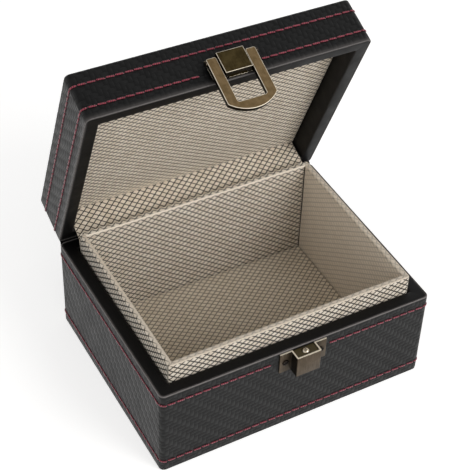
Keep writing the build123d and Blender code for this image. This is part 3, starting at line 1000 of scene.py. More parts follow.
@dataclass
class LeatherShell:
    """The embossed wraps of base and lid, and the smooth strips that cover their rims."""

    box: BoxSizes = BOX
    groove: float = 0.16
    groove_width: float = 0.75
    unevenness: float = 0.05
    lip: float = 0.5

    def loop(self) -> RoundedLoop:
        """The box's outline."""
        return RoundedLoop(self.box.width, self.box.depth, self.box.corner_radius)

    def side_rows(self, low: float, high: float, seams: Sequence[float]) -> Array:
        """Rows up a side wall, pressed in along each seam.

        The inset is the groove's depth times exp(-(height from the seam / groove width) squared).

        Args:
            low: the first height.
            high: the last height.
            seams: heights of the stitch rows.

        Returns:
            Rows of (inset, height).
        """
        near = np.linspace(-1.6, 1.6, 9)
        heights = np.unique(
            np.concatenate([np.linspace(low, high, 20), *(seam + near for seam in seams)]).round(4)
        )
        inset = sum(
            self.groove * np.exp(-(((heights - seam) / self.groove_width) ** 2)) for seam in seams
        )
        return np.stack([inset, heights], axis=1)

    def uneven(self, seed: int) -> Callable[[Array], Array]:
        """The cloth's small unevenness over the board, as a depth in millimetres."""
        return lambda points: self.unevenness * (0.5 + 0.5 * ripple(points, 34.0, seed))

    def base_wrap(self) -> bpy.types.Object:
        """The skin round the base, with its flap folded under and its edge rolled at the rim."""
        box, thick = self.box, self.box.leather
        low, top = box.bottom_cover, box.base_height
        under = np.array([[box.under_flap, low], [1.4, low], [0.5, low + 0.05], [0.12, low + 0.3]])
        side = self.side_rows(low + 1.0, top - 0.55, (box.stitch_edge_inset, top - box.stitch_rim_inset))
        roll = np.array([[0.04, top - 0.25], [0.16, top - 0.07], [0.32, top], [0.5, top - 0.06]])
        inner = np.array(
            [
                [thick - 0.03, top - 0.25],
                [thick, top - thick],
                [thick, low + thick],
                [box.under_flap, low + thick],
                [box.under_flap, low],
            ]
        )
        profile = np.concatenate([under, side, roll, inner])
        lift = side[0, 1] - path_lengths(profile)[len(under)]
        # The rolled top edge is marked for the leather's pale grey: a painted highlight along the rim.
        worn = [0.9, 1.0, 1.0, 0.8]
        edge = np.concatenate([np.zeros(len(under) + len(side)), worn, np.zeros(len(inner))])
        repeat = 4 * Finishes.leather.tow
        patch = self.loop().rings(profile, lift=lift, edge=edge, sink=self.uneven(3), repeat=repeat)
        piece = make_piece("base_wrap", Seat.BASE.value, Finishes.leather, [patch])
        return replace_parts(piece, "base_leather_wrap")

    def lid_wrap(self) -> bpy.types.Object:
        """The skin of the lid: rolled edge, sides, a rounded top edge and the top face.

        The top's rows are the same rings drawn in to its middle. They carry X and Y as their cloth
        coordinates, because the top is one flat stretch of the embossed cloth.
        """
        box, thick = self.box, self.box.leather
        low, top, radius = box.lid_rim, box.lid_top, box.edge_radius
        loop = self.loop()
        inner = np.array(
            [[thick, top - thick], [thick, low + thick], [thick - 0.03, low + 0.25], [0.5, low + 0.06]]
        )
        roll = np.array([[0.32, low], [0.16, low + 0.07], [0.04, low + 0.25]])
        side = self.side_rows(
            low + 0.55, top - radius, (low + box.stitch_rim_inset, top - box.stitch_edge_inset)
        )
        turn = np.linspace(0, pi / 2, 7)[1:]
        edge = np.stack([radius * (1 - np.cos(turn)), top - radius * (1 - np.sin(turn))], axis=1)
        skin = np.concatenate([inner, roll, side, edge])
        lift = side[0, 1] - path_lengths(skin)[len(inner) + len(roll)]
        middle = box.depth / 2 - 3.0
        face = np.stack([np.linspace(radius, middle, 24), np.full(24, top)], axis=1)
        under = face[::-1] - np.array([0.0, thick])
        under = np.concatenate([under[under[:, 0] > thick], [[thick, top - thick]]])
        # The lower rolled edge, and softly the foot of the sides, are marked for the leather's pale grey: a
        # painted highlight.
        soft = 0.3 * np.exp(-(((side[:, 1] - side[0, 1]) / 0.9) ** 2))
        rub = np.concatenate([[0.0, 0.0, 0.0, 0.5, 0.7, 0.7, 0.45], soft, np.zeros(len(edge))])
        patches = [
            loop.rings(
                skin, lift=lift, edge=rub, sink=self.uneven(5), repeat=4 * Finishes.leather.tow
            ),
            loop.rings(face),
            loop.rings(under),
        ]
        for flat in patches[1:]:
            flat.uv = flat.points[..., :2].copy()
        patches[1].points[:1] = patches[0].points[-1:]
        patches[2].points[-1:] = patches[0].points[:1]
        caps = []
        for flat, row, step in ((patches[1], -1, 1), (patches[2], 0, -1)):
            ring = flat.points[row, :-1][::step]
            caps.append(Cap(ring, ring[:, :2]))
        for part in (*patches, *caps):
            part.points = Seat.LID.carry(part.points)
        piece = make_piece("lid_wrap", Seat.LID.value, Finishes.leather, patches, caps)
        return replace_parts(piece, "lid_leather_wrap")

    def rim_strip(self, name: str, node: str, seat: Seat, start: float, into: float) -> bpy.types.Object:
        """The smooth strip over a rim, turned in down the inside of the walls.

        Args:
            name: the piece's name.
            node: the node that it replaces.
            seat: the body it is on.
            start: height of the rim's face.
            into: +1 or -1, the way from the face into the wall.

        Returns:
            The piece.
        """
        box, thick, rim = self.box, self.box.leather, self.box.rim
        rows = np.array(
            [
                [thick, thick],
                [thick + 0.02, 0.30],
                [thick + 0.18, 0.10],
                [thick + 0.5, 0.03],
                [2.2, 0.0],
                [3.6, 0.0],
                [rim - 0.75, 0.04],
                [rim - 0.35, 0.13],
                [rim - 0.1, 0.36],
                [rim, 0.75],
                [rim, 4.0],
                [rim, 8.0],
                [rim, box.turn_in],
                [rim - thick, box.turn_in],
                [rim - thick, thick],
                [thick, thick],
            ]
        )
        # The outer and inner edges of the rim are marked for the smooth cloth's pale grey: a painted
        # highlight.
        edge = np.array([0.5, 0.9, 0.9, 0, 0, 0, 0, 0.2, 0.2, 0, 0, 0, 0, 0, 0, 0.5], float)
        profile = np.stack([rows[:, 0], start + into * rows[:, 1]], axis=1)
        patch = self.loop().rings(profile, edge=edge)
        dip = 0.5 + 0.5 * ripple(patch.points, 15.0, 11)
        patch.points[..., 2] += into * 0.10 * dip * (rows[:, 1] < 0.5)[:, None]
        patch.points = seat.carry(patch.points)
        piece = make_piece(name, seat.value, Finishes.smooth, [patch], sharp=50.0)
        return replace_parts(piece, node)

    def build(self) -> None:
        """Makes the wraps and the rim strips."""
        self.base_wrap()
        self.lid_wrap()
        self.rim_strip("base_rim", "base_rim_strip", Seat.BASE, self.box.base_height, -1.0)
        self.rim_strip("lid_rim", "lid_rim_strip", Seat.LID, self.box.lid_rim, 1.0)


# ================================================================ stitches


@dataclass
class StitchRows:
    """Four rows of saddle stitches, each stitch a bent two-ply thread that dives at its ends."""

    box: BoxSizes = BOX
    pitch: float = 4.0
    length: float = 4.02
    half_width: float = 0.39
    half_height: float = 0.32
    slant: float = 4.0
    around: int = 6
    spans: int = 8

    def row(
        self,
        name: str,
        node: str,
        seat: Seat,
        height: float,
        gap: tuple[float, float] | None,
        open_back: bool,
    ) -> bpy.types.Object:
        """One row of stitches round the walls.

        Along a stitch the thread's middle stands at rise x (1 - 2.4 x tenth power of the place along
        it), so that its ends go under the leather, and its section shrinks to a point there.

        Args:
            name: the piece's name.
            node: the node that it replaces.
            seat: the body it is on.
            height: the row's height on the shut box.
            gap: start and end of a clear stretch of the front, from its middle.
            open_back: whether the back has no stitches.

        Returns:
            The piece.
        """
        loop = RoundedLoop(self.box.width, self.box.depth, self.box.corner_radius)
        middles = loop.side_middles()
        count = round(middles[4] / self.pitch)
        centres = (np.arange(count) + 0.5) * middles[4] / count
        from_back = np.minimum(centres, middles[4] - centres)
        keep = np.ones(count, bool)
        if open_back:
            keep &= from_back > self.box.width / 2 + 1.0
        if gap:
            at = centres - middles[2]
            keep &= (at < gap[0] - self.length / 2) | (at > gap[1] + self.length / 2)
        centres = centres[keep]

        draw = np.random.default_rng(int(height * 10))
        turn = radians(self.slant) * (1 + 0.25 * draw.normal(size=len(centres)))
        place = np.linspace(-1, 1, self.spans + 1)
        width = np.sqrt(np.clip(1.02 - place**8, 0, 1)) * np.where(np.abs(place) > 0.999, 0.02, 1.0)
        rise = 0.12 * (1 - 2.4 * place**10)
        ring = np.linspace(0, 2 * pi, self.around + 1)
        along = centres[:, None, None] + place[None, :, None] * self.length / 2
        side = self.half_width * width[:, None] * np.cos(ring)
        out = rise[:, None] + self.half_height * width[:, None] * np.sin(ring)
        tilt = -np.tan(turn)[:, None, None] * place[None, :, None] * self.length / 2
        along = np.broadcast_to(along, (len(centres), len(place), len(ring)))
        spot, normal = loop.walk(along)
        flat = spot + normal * (out[None] - 0.06)[..., None]
        z = height + side[None] + tilt
        points = np.concatenate([flat, z[..., None]], axis=-1)
        points = seat.carry(points)
        turns = np.broadcast_to(ring / (2 * pi), along.shape)
        uv = np.stack([along, turns], axis=-1)
        patches = [Patch(p, t) for p, t in zip(points, uv)]
        caps = []
        for p, t in zip(points, uv):
            caps.append(Cap(p[0, :-1][::-1], t[0, :-1][::-1]))
            caps.append(Cap(p[-1, :-1], t[-1, :-1]))
        piece = make_piece(name, seat.value, Finishes.thread, patches, caps, sharp=80.0)
        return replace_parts(piece, node)

    def build(self, keeper: tuple[float, float], plate: tuple[float, float]) -> None:
        """Makes the four rows.

        Args:
            keeper: the stretch of the front that the keeper covers.
            plate: the stretch of the front that the latch plate covers.
        """
        box = self.box
        low, high = box.stitch_edge_inset, box.base_height - box.stitch_rim_inset
        self.row("base_lower_stitches", "base_lower_stitching", Seat.BASE, low, None, False)
        self.row("base_upper_stitches", "base_upper_stitching", Seat.BASE, high, keeper, True)
        low, high = box.lid_rim + box.stitch_rim_inset, box.lid_top - box.stitch_edge_inset
        self.row("lid_lower_stitches", "lid_lower_stitching", Seat.LID, low, plate, True)
        self.row("lid_upper_stitches", "lid_upper_stitching", Seat.LID, high, None, False)


# ================================================================ lining


def soft_slab(
    x: tuple[float, float],
    y: tuple[float, float],
    z: tuple[float, float],
    rounding: float,
    crown: float,
    flip_v: bool = False,
) -> list[Patch]:
    """A thin padded slab: two crowned faces that meet round its edge.

    With d the distance to the nearest edge, a face stands at its full height times the square root of
    1 - (1 - d / rounding) squared near the edge, plus the crown times the product of two half cosines.

    Args:
        x: lowest and highest X.
        y: lowest and highest Y.
        z: height of the show face, and of the back face.
        rounding: how far in from the edge the faces curve.
        crown: how far the show face's middle stands proud.
        flip_v: whether the cloth's second coordinate runs against Y.

    Returns:
        The show face and the back face.
    """
    steps = np.array([0, 0.04, 0.15, 0.35, 0.65, 1.0, 1.6, 3.0])

    def stations(low: float, high: float) -> Array:
        near = steps * rounding
        inner = np.linspace(low + near[-1], high - near[-1], 42)
        return np.concatenate([low + near[:-1], inner, (high - near[:-1])[::-1]])

    sx, sy = stations(*x), stations(*y)
    gx, gy = np.meshgrid(sx, sy)
    to_edge = np.minimum.reduce([gx - x[0], x[1] - gx, gy - y[0], y[1] - gy])
    curve = np.sqrt(np.clip(1 - (1 - np.clip(to_edge / rounding, 0, 1)) ** 2, 0, 1))
    middle = sum(z) / 2
    half = (z[0] - z[1]) / 2
    wide = np.cos((gx - sum(x) / 2) / (x[1] - x[0]) * pi)
    deep = np.cos((gy - sum(y) / 2) / (y[1] - y[0]) * pi)
    show = middle + half * curve + np.sign(half) * crown * np.clip(wide * deep, 0, 1) ** 0.5
    back = middle - half * curve
    uv = np.stack([gx, -gy if flip_v else gy], axis=-1)
    edge = np.clip(1 - to_edge / (0.6 * rounding), 0, 1) * 0.5
    return [
        Patch(np.stack([gx, gy, show], axis=-1), uv, edge),
        Patch(np.stack([gx, gy, back], axis=-1)[::-1], uv[::-1], edge[::-1]),
    ]


@dataclass
class TrayLining:
    """The tray's fabric: one cloth over both faces and the top of the four walls, and a floor."""

    box: BoxSizes = BOX
    gap: float = 0.5
    back_gap: float = 1.0
    wall: float = 2.5
    bottom: float = 3.35
    rise: float = 9.0
    floor_card: float = 0.8
    cloth: float = 0.55
    outer_radius: float = 1.3
    fold_wave: float = 0.12
    floor_gap: float = 0.3

    @property
    def y_range(self) -> tuple[float, float]:
        """Front and back of the tray."""
        return -self.box.opening[1] / 2 + self.gap, self.box.opening[1] / 2 - self.back_gap

    def walls(self) -> bpy.types.Object:
        """The walls' cloth, up the outside, over a flat fold and down the inside.

        The fold's height wanders a little with distance along it, as cloth glued over card does.
        """
        front, back = self.y_range
        width, depth = self.box.opening[0] - 2 * self.gap, back - front
        loop = RoundedLoop(width, depth, self.outer_radius, 160, 124, 6)
        top, wall = self.box.base_height + self.rise, self.wall
        fold = np.array(
            [
                [0.0, top - 0.9],
                [0.0, top - 0.5],
                [0.05, top - 0.22],
                [0.2, top - 0.03],
                [0.42, top],
                [0.7, top - 0.08],
                [1.1, top - 0.1],
                [1.6, top - 0.06],
                [2.0, top - 0.08],
                [2.3, top - 0.25],
                [wall - 0.05, top - 0.5],
                [wall, top - 0.9],
            ]
        )
        outer = np.stack([np.zeros(10), np.linspace(self.bottom, top - 1.6, 10)], axis=1)
        inner = np.stack([np.full(14, wall), np.linspace(top - 1.6, self.bottom, 14)], axis=1)
        profile = np.concatenate([outer, fold, inner, outer[:1]])
        shift = (0.0, (front + back) / 2)
        lift = self.bottom - top
        repeat = 1 / Finishes.lining.across
        patch = loop.rings(profile, shift, lift, None, lambda p: 0.10 * ripple(p, 21.0, 23), repeat)
        self.smooth_folds(patch, loop, len(outer), len(fold))
        u = patch.uv[..., 0]
        wave = np.sin(u / 2.6 + 1.3 * np.sin(u / 11.0)) + 0.6 * np.sin(u / 6.1 + 2.0)
        weight = np.clip((patch.points[..., 2] - (top - 1.2)) / 1.0, 0, 1)
        patch.points[..., 2] -= self.fold_wave * weight * (0.5 + 0.3 * wave).clip(0, 1)
        piece = make_piece("tray_wall_cloth", Seat.BASE.value, Finishes.tray, [patch], sharp=60.0)
        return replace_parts(piece, *(f"tray_{side}_lining" for side in ("front", "back", "left", "right")))

    def smooth_folds(self, patch: Patch, loop: RoundedLoop, outer: int, fold: int) -> None:
        """Marks how the cloth is pulled and where light and shade are painted on it, and presses the inner
        corners in.

        A mark of 1 is pulled smooth. From 1 to 2 the tone turns to a bright colour, a painted highlight
        along the back's inner fold edge; -1 widens the dark gaps as painted shade and -2 leaves only the
        dark ground, painted shade in the inner corners' creases. Each wall's fold has its own row of
        marks: the back's is patterned but for its inner edge, the left's is smooth only on its inner
        half and the others are smoothest outside. The right wall's inside is half smooth.

        Args:
            patch: the walls' grid, whose edge numbers are filled in.
            loop: the loop that it follows.
            outer: rows before the fold.
            fold: rows of the fold.
        """
        _, normal, before, after, share = loop.columns()
        side = np.where(share > 0.5, after[:, 0], before[:, 0]).astype(int) % 4
        # The back's row ends in 1.6 and 2, a painted highlight on its inner edge; marks below zero are
        # painted shade.
        across = np.array(
            [
                [0, 0, 0, 0, 0, 0, 0, 0, 0.2, 1.6, 2.0, 0.4],
                [-1, -0.8, -0.4, 0, 0.2, 0.35, 0.6, 0.9, 1.0, 0.8, 0.4, 0],
                [-0.4, 0.4, 1.0, 1.0, 0.9, 0.7, 0.65, 0.65, 0.7, 0.9, 0.5, 0],
                [0, 0.5, 0.9, 1.0, 0.9, 0.7, 0.65, 0.7, 0.8, 0.9, 0.6, 0.5],
            ]
        )
        patch.edge = np.zeros(patch.points.shape[:2])
        # The outsides of the left and front walls get marks below zero: painted shade in widened gaps.
        patch.edge[:outer] = np.array([0.0, -1.0, -0.5, 0.0])[side]
        patch.edge[outer : outer + fold] = across[side].T
        patch.edge[outer + fold :] = np.where(side == 3, 0.72, 0.0)
        corner = (share > 0.1) & (share < 0.9)
        # Inner corners get -2: painted shade in the crease.
        patch.edge[outer + fold :, corner] = -2.0
        push = np.where(corner, 0.6, 0.0)[:, None] * normal
        patch.points[outer + fold : -1, :, :2] += push

    def floor(self) -> bpy.types.Object:
        """The floor's cloth over its card."""
        front, back = self.y_range
        half = self.box.opening[0] / 2 - self.gap - self.wall
        low = self.bottom + self.floor_card
        patches = soft_slab(
            (-half + self.floor_gap, half - self.floor_gap),
            (front + self.wall + self.floor_gap, back - self.wall - self.floor_gap),
            (low + self.cloth, low),
            0.5,
            0.0,
        )
        for patch in patches:
            patch.edge = np.maximum(patch.edge, 0.35)
        piece = make_piece("tray_floor_cloth", Seat.BASE.value, Finishes.lining, patches, sharp=80.0)
        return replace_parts(piece, "tray_floor_lining")

    def build(self) -> None:
        """Makes the walls' cloth and the floor's."""
        self.walls()
        self.floor()


@dataclass
class LidPanel:
    """The lid's lining panel: cloth over card and foam, slightly crowned, with soft edges."""

    box: BoxSizes = BOX
    gap: float = 0.25
    strip: float = 0.5
    head_gap: float = 0.4
    rise: float = 9.0
    card: float = 1.2
    cloth: float = 0.55
    crown: float = 0.25

    @property
    def face(self) -> float:
        """Height of the panel's face on the shut box."""
        return self.box.base_height + self.rise + self.head_gap

    def build(self) -> bpy.types.Object:
        """Makes the padded panel, whose cloth is pulled smooth along part of its edge by the hinge."""
        width, depth = self.box.opening
        patches = soft_slab(
            (-width / 2 + self.gap, width / 2 - self.gap),
            (-depth / 2 + self.gap, depth / 2 - self.strip - self.gap),
            (self.face + 0.1, self.face + self.cloth + self.card - 0.02),
            1.5,
            self.crown,
            flip_v=True,
        )
        for patch in patches:
            x, y = patch.points[..., 0], patch.points[..., 1]
            from_hinge = depth / 2 - self.strip - self.gap - y
            taut = 0.75 * np.exp(-(((x + 22.0) / 26.0) ** 2)) * np.clip(1 - from_hinge / 9.0, 0, 1)
            patch.edge = np.maximum(patch.edge, taut)
            patch.points = Seat.LID.carry(patch.points)
        piece = make_piece("lid_panel", Seat.LID.value, Finishes.lining, patches, sharp=80.0)
        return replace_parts(piece, "lid_panel_lining")


# ================================================================ soft hinge


def corner_columns(half_width: float) -> tuple[Array, Array]:
    """Closer columns near both ends of a strip."""
    near = np.linspace(half_width - 2.4, half_width, 10)
    return near, -near


def ribbon(
    line: Array, thickness: float, half_width: float, lift: float, corner: tuple[float, float] = (0, 0)
) -> tuple[list[Patch], list[Cap]]:
    """A strip of cloth carried along X, from its middle line in Y and Z.

    Each face is the line moved by half the thickness along its normal, and the ends are rounded by a
    half circle of points. Past where the box's corner starts, at a distance d, the strip falls back
    along its normal by radius - root(radius squared - d squared), so it follows the corner.

    Args:
        line: points of the middle line, as Y and Z.
        thickness: of the cloth.
        half_width: half the strip's width along X.
        lift: the cloth's second coordinate at the line's start.
        corner: the X where the corner that it follows starts, and that corner's radius.

    Returns:
        The swept patch and its two end caps.
    """
    ahead = np.gradient(line, axis=0)
    ahead /= np.linalg.norm(ahead, axis=1, keepdims=True)
    normal = np.stack([-ahead[:, 1], ahead[:, 0]], axis=1)
    half = thickness / 2
    turn = np.linspace(-pi / 2, pi / 2, 5)[1:-1, None]
    last = line[-1] + half * (np.cos(turn) * ahead[-1] + np.sin(turn) * normal[-1])
    first = line[0] + half * (-np.cos(turn) * ahead[0] - np.sin(turn) * normal[0])
    section = np.concatenate([line - half * normal, last, (line + half * normal)[::-1], first])
    along = path_lengths(line) + lift
    ends = np.full(3, along[-1]), np.full(3, along[0])
    v = np.concatenate([along, ends[0], along[::-1], ends[1]])
    section, v = np.concatenate([section, section[:1]]), np.concatenate([v, v[:1]])
    inward = np.concatenate([normal, np.tile(normal[-1], (3, 1)), normal[::-1], np.tile(normal[0], (4, 1))])
    inward[-1] = normal[0]
    x = np.unique(np.concatenate([np.linspace(-half_width, half_width, 60), *corner_columns(half_width)]))
    past = np.clip(np.abs(x) - corner[0], 0, corner[1])
    fall = corner[1] - np.sqrt(corner[1] ** 2 - past**2)
    grid_x, grid_y = np.meshgrid(x, section[:, 0])
    grid_z = section[:, 1][:, None] + inward[:, 1][:, None] * fall
    grid_y = grid_y + inward[:, 0][:, None] * fall
    uv = np.stack([grid_x, np.broadcast_to(v[:, None], grid_x.shape)], axis=-1)
    points = np.stack([grid_x, grid_y, grid_z], axis=-1)
    side_uv = np.stack([section[:-1, 0], v[:-1]], axis=-1)
    caps = [Cap(points[:-1, 0][::-1], side_uv[::-1]), Cap(points[:-1, -1], side_uv)]
    return [Patch(points, uv)], caps


@dataclass
class SoftHinge:
    """The leather strip behind the joint and the lining strip that shows inside it."""

    box: BoxSizes = BOX
    panel: LidPanel = field(default_factory=LidPanel)
    leaf: float = 12.0
    end_inset: float = 0.7
    cloth: float = 0.5
    cloth_inset: float = 1.0
    tuck: float = 10.0
    lid_tuck: float = 3.0
    fold: float = 1.2

    def outer(self) -> bpy.types.Object:
        """The leather strip: one leaf up the base's back, one along the lid's, round a small fold."""
        y, z = self.box.hinge
        steps = np.linspace(0, 1, 12)[:, None]
        low, axis = np.array([y, z - self.leaf]), np.array([y, z])
        lid_up = Seat.LID.carry(np.array([[0.0, y, z + self.leaf]]))[0, 1:]
        line = np.concatenate([low + steps * (axis - low), axis + steps[1:] * (lid_up - axis)])
        straight = (self.box.width / 2 - self.box.corner_radius, self.box.corner_radius)
        half = self.box.width / 2 - self.end_inset
        patches, caps = ribbon(line, self.box.hinge_leather, half, 0.0, straight)
        piece = make_piece("outer_hinge_leather", None, Finishes.smooth, patches, caps)
        self.lid_side(0.6)
        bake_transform(piece)
        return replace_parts(piece, "outer_hinge_strip")

    def lid_side(self, reach: float) -> tuple[float, float, float]:
        """A point that far up the open lid's back from the hinge axis, in metres."""
        y, z = self.box.hinge
        point = Seat.LID.carry(np.array([[0.0, y, z + reach]]))[0] * MM
        return tuple(float(v) for v in point)

    def inner(self) -> bpy.types.Object:
        """The lining strip: down the lid's back wall, round the hinge axis and behind the tray.

        Between the two walls its line is an arc about the axis, so the strip keeps its distance from
        it as the lid turns.
        """
        y, z = self.box.hinge
        strip_y = self.box.opening[1] / 2 - self.cloth / 2
        reach = y - strip_y
        tail = self.box.base_height - self.tuck
        head = self.panel.face + self.lid_tuck
        down = np.linspace(tail, z, 14)[:-1]
        below = np.stack([np.full(13, strip_y), down], axis=1)
        angle = np.radians(np.linspace(0, self.box.open_angle, 16))
        arc = np.array([y, z]) + reach * np.stack([-np.cos(angle), np.sin(angle)], axis=1)
        up = np.linspace(z, head, 16)[1:]
        wall = np.stack([np.zeros(15), np.full(15, strip_y), up], axis=1)
        above = Seat.LID.carry(wall)[:, 1:]
        line = np.concatenate([below, arc, above])
        half = self.box.opening[0] / 2 - self.cloth_inset
        patches, caps = ribbon(line, self.cloth, half, tail)
        piece = make_piece("inner_hinge_cloth", None, Finishes.lining, patches, caps)
        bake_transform(piece)
        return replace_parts(piece, "inner_hinge_strip")

    def build(self) -> None:
        """Makes both strips."""
        self.outer()
        self.inner()


# ================================================================ latch


@dataclass
class HaspLatch:
    """The hasp, the plate with the block that it hangs from, and the keeper on the base."""

    box: BoxSizes = BOX
    plate: float = 0.7
    plate_lift: float = 0.9
    block_width: float = 12.2
    block_height: float = 9.9
    block_depth: float = 4.8
    tongue_inset: float = 1.9
    tongue_drop: float = 0.6
    tongue_depth: float = 1.6
    pin_height: float = 8.0
    pin_standoff: float = 3.0
    pin_margin: float = -0.5
    arm: float = 4.5
    side_gap: float = 0.5
    hasp_thickness: float = 2.2
    lean: float = 2.0
    heel: float = 1.5
    bow: float = 4.6
    bow_rise: float = 4.6
    window_radius: float = 1.0
    keeper_flange: float = 5.45
    keeper_height: float = 10.8
    keeper_drop: float = 0.8
    keeper_side_gap: float = 0.75
    keeper_end_gap: float = 0.2
    keeper_depth: float = 5.6

    @property
    def window_width(self) -> float:
        """Width of the opening between the hasp's arms."""
        return self.block_width + 2 * self.side_gap

    @property
    def hasp_width(self) -> float:
        """Width over the hasp's arms."""
        return self.window_width + 2 * self.arm

    @property
    def plate_width(self) -> float:
        """Width of the plate on the lid."""
        return self.hasp_width + 2 * self.pin_margin

    @property
    def keeper_box(self) -> float:
        """Width of the keeper's raised part."""
        return self.window_width - 2 * self.keeper_side_gap

    @property
    def keeper_width(self) -> float:
        """Width over the keeper's flanges."""
        return self.keeper_box + 2 * self.keeper_flange

    def on_front(self, level: float, seat: Seat) -> Callable[[Array, Array, Array], Array]:
        """How a drawing on the front lies: its first coordinate along X, its second up, its third out."""

        def place(across: Array, up: Array, out: Array) -> Array:
            x = self.box.latch_offset + across
            shut = np.stack([x, -self.box.depth / 2 - out, level + up], axis=-1)
            return seat.carry(shut)

        return place

    def latch_plate(self) -> bpy.types.Object:
        """The plate with its tongue and the block that the pin runs through."""
        place = self.on_front(self.box.lid_rim + self.plate_lift, Seat.LID)
        half, block, top = self.plate_width / 2, self.block_width / 2, self.block_height
        tongue = block - self.tongue_inset
        rounded = 0.4
        back = rounded_outline(
            [(-half, 0, rounded), (half, 0, rounded), (half, top, rounded), (-half, top, rounded)]
        )
        front = np.array([(-block, 0), (block, 0), (block, top), (-block, top)], float)
        drop = -self.tongue_drop
        lip = rounded_outline([(-tongue, drop, 0.3), (tongue, drop, 0.3), (tongue, 2, 0), (-tongue, 2, 0)])
        # The plate, tongue and block keep the default side mark of -1: their sides take the dark side
        # colour as painted shade.
        patches, caps = bevelled_prism(back, 0.0, self.plate, 0.06, place, 0.02, 0.02)
        for outline, low, high, bevel, rub in (
            (lip, self.plate, self.tongue_depth, 0.06, 0.02),
            (front, self.plate, self.block_depth, 0.2, 0.08),
        ):
            more = bevelled_prism(outline, low, high, bevel, place, 0.02, rub)
            patches, caps = patches + more[0], caps + more[1]
        piece = make_piece("latch_plate", Seat.LID.value, Finishes.block, patches, caps)
        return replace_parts(piece, "lid_latch_plate")

    def hasp(self) -> bpy.types.Object:
        """The flat hasp: two arms on the pin and a bowed foot below the window."""
        drop = self.box.rim_seam + self.keeper_drop + self.keeper_height + self.keeper_end_gap
        window = -self.pin_height - drop
        tip, corner = window - self.bow, window - self.bow + self.bow_rise
        half, gap, top = self.hasp_width / 2, self.window_width / 2, self.heel
        radius = (half**2 + self.bow_rise**2) / (2 * self.bow_rise)
        reach = np.arcsin(half / radius)
        angle = np.linspace(-reach, reach, 33)
        foot = np.stack([radius * np.sin(angle), tip + radius * (1 - np.cos(angle))], axis=1)
        inner = [
            (half, top, 0.8),
            (gap, top, 0.8),
            (gap, window, self.window_radius),
            (-gap, window, self.window_radius),
            (-gap, top, 0.8),
            (-half, top, 0.8),
        ]
        arms = rounded_outline([(-half, corner, 0), (half, corner, 0), *inner])
        outline = np.concatenate([foot, arms[2:]])
        pin_y = -self.box.depth / 2 - self.pin_standoff
        pin_z = self.box.lid_rim + self.pin_height

        def place(across: Array, up: Array, out: Array) -> Array:
            x = self.box.latch_offset + across
            shut = np.stack([x, pin_y - out, pin_z + up], axis=-1)
            return Seat.HASP.carry(turned(shut, self.lean, pin_y, pin_z))

        thick = self.hasp_thickness / 2
        # The hasp keeps the default side mark of -1: its sides take the dark side colour as painted shade.
        patches, caps = bevelled_prism(outline, -thick, thick, 0.22, place, rub=0.06)
        piece = make_piece("hasp", Seat.HASP.value, Finishes.bronze, patches, caps)
        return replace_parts(piece, "latch_hasp")

    def keeper(self) -> bpy.types.Object:
        """The keeper: one bent strip, flange, cheek, front, cheek and flange, with rounded bends."""
        half, box, thick = self.keeper_width / 2, self.keeper_box / 2, self.plate
        depth, bend = self.keeper_depth, 0.5
        outline = rounded_outline(
            [
                (-half, 0, 0.1),
                (-box + thick, 0, 0.2),
                (-box + thick, depth - thick, 0.15),
                (box - thick, depth - thick, 0.15),
                (box - thick, 0, 0.2),
                (half, 0, 0.1),
                (half, thick, 0.2),
                (box, thick, 0.25),
                (box, depth, bend),
                (-box, depth, bend),
                (-box, thick, 0.25),
                (-half, thick, 0.2),
            ],
            4,
        )
        lay = self.on_front(self.box.base_height - self.keeper_drop - self.keeper_height, Seat.BASE)
        # The cheeks are marked for the dark side colour, painted shade, and the top edge face is marked
        # fully pale, partly worn metal and partly a painted highlight.
        cheek = (np.abs(np.abs(outline[:, 0]) - box) < 0.3) & (outline[:, 1] < depth - 0.1)
        cheek &= outline[:, 1] > thick - 0.05
        patches, caps = bevelled_prism(
            outline,
            0.0,
            self.keeper_height,
            0.06,
            lambda a, b, c: lay(a, c, b),
            0.06,
            0.03,
            np.where(cheek, -0.8, 0.0),
            1.0,
        )
        piece = make_piece("keeper", Seat.BASE.value, Finishes.keeper, patches, caps)
        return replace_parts(piece, "keeper_strap")

    def build(self) -> None:
        """Makes the three stamped pieces; the screws, pin, ball and housing keep their solids."""
        self.latch_plate()
        self.hasp()
        self.keeper()


@dataclass
class DetentSpring:
    """The coil spring under the ball, drawn at one length."""

    latch: HaspLatch = field(default_factory=HaspLatch)
    wire: float = 0.2
    radius: float = 1.2
    turns: int = 4
    recess: float = 0.5
    bore: float = 7.0
    rise: float = 4.149
    side_gap: float = 0.05
    setback: float = 0.2
    travel: float = 0.8

    def build(self) -> bpy.types.Object:
        """Sweeps the wire along a helix: it turns about the bore and climbs in equal steps."""
        latch, box = self.latch, self.latch.box
        turn = np.linspace(0, 2 * pi * self.turns, 24 * self.turns + 1)[:, None]
        ring = np.linspace(0, 2 * pi, 9)
        low = box.base_height - latch.keeper_drop - self.recess - self.bore + self.wire
        inward = self.side_gap + (latch.keeper_depth - latch.plate - 2 * self.side_gap) / 2
        middle = (box.latch_offset, -box.depth / 2 - inward + self.setback)
        climb = np.arctan2(self.rise, 2 * pi * self.turns * self.radius)
        across, up = self.wire * np.cos(ring), self.wire * np.sin(ring)
        out = self.radius + across
        x = middle[0] + out * np.cos(turn) + up * np.sin(climb) * np.sin(turn)
        y = middle[1] + out * np.sin(turn) - up * np.sin(climb) * np.cos(turn)
        z = low + self.rise * turn / turn[-1] + up * np.cos(climb)
        uv = np.stack(np.broadcast_arrays(self.radius * turn, ring * self.wire), axis=-1)
        tube = Patch(np.stack([x, y, z], axis=-1), uv)
        ends = [Cap(tube.points[0, :-1][::-1], uv[0, :-1][::-1]), Cap(tube.points[-1, :-1], uv[-1, :-1])]
        finish = Finishes.nodes["spring_steel"]
        piece = make_piece("detent_coil", Seat.BASE.value, finish, [tube], ends, sharp=60.0)
        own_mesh(piece)
        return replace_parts(piece, "detent_spring")


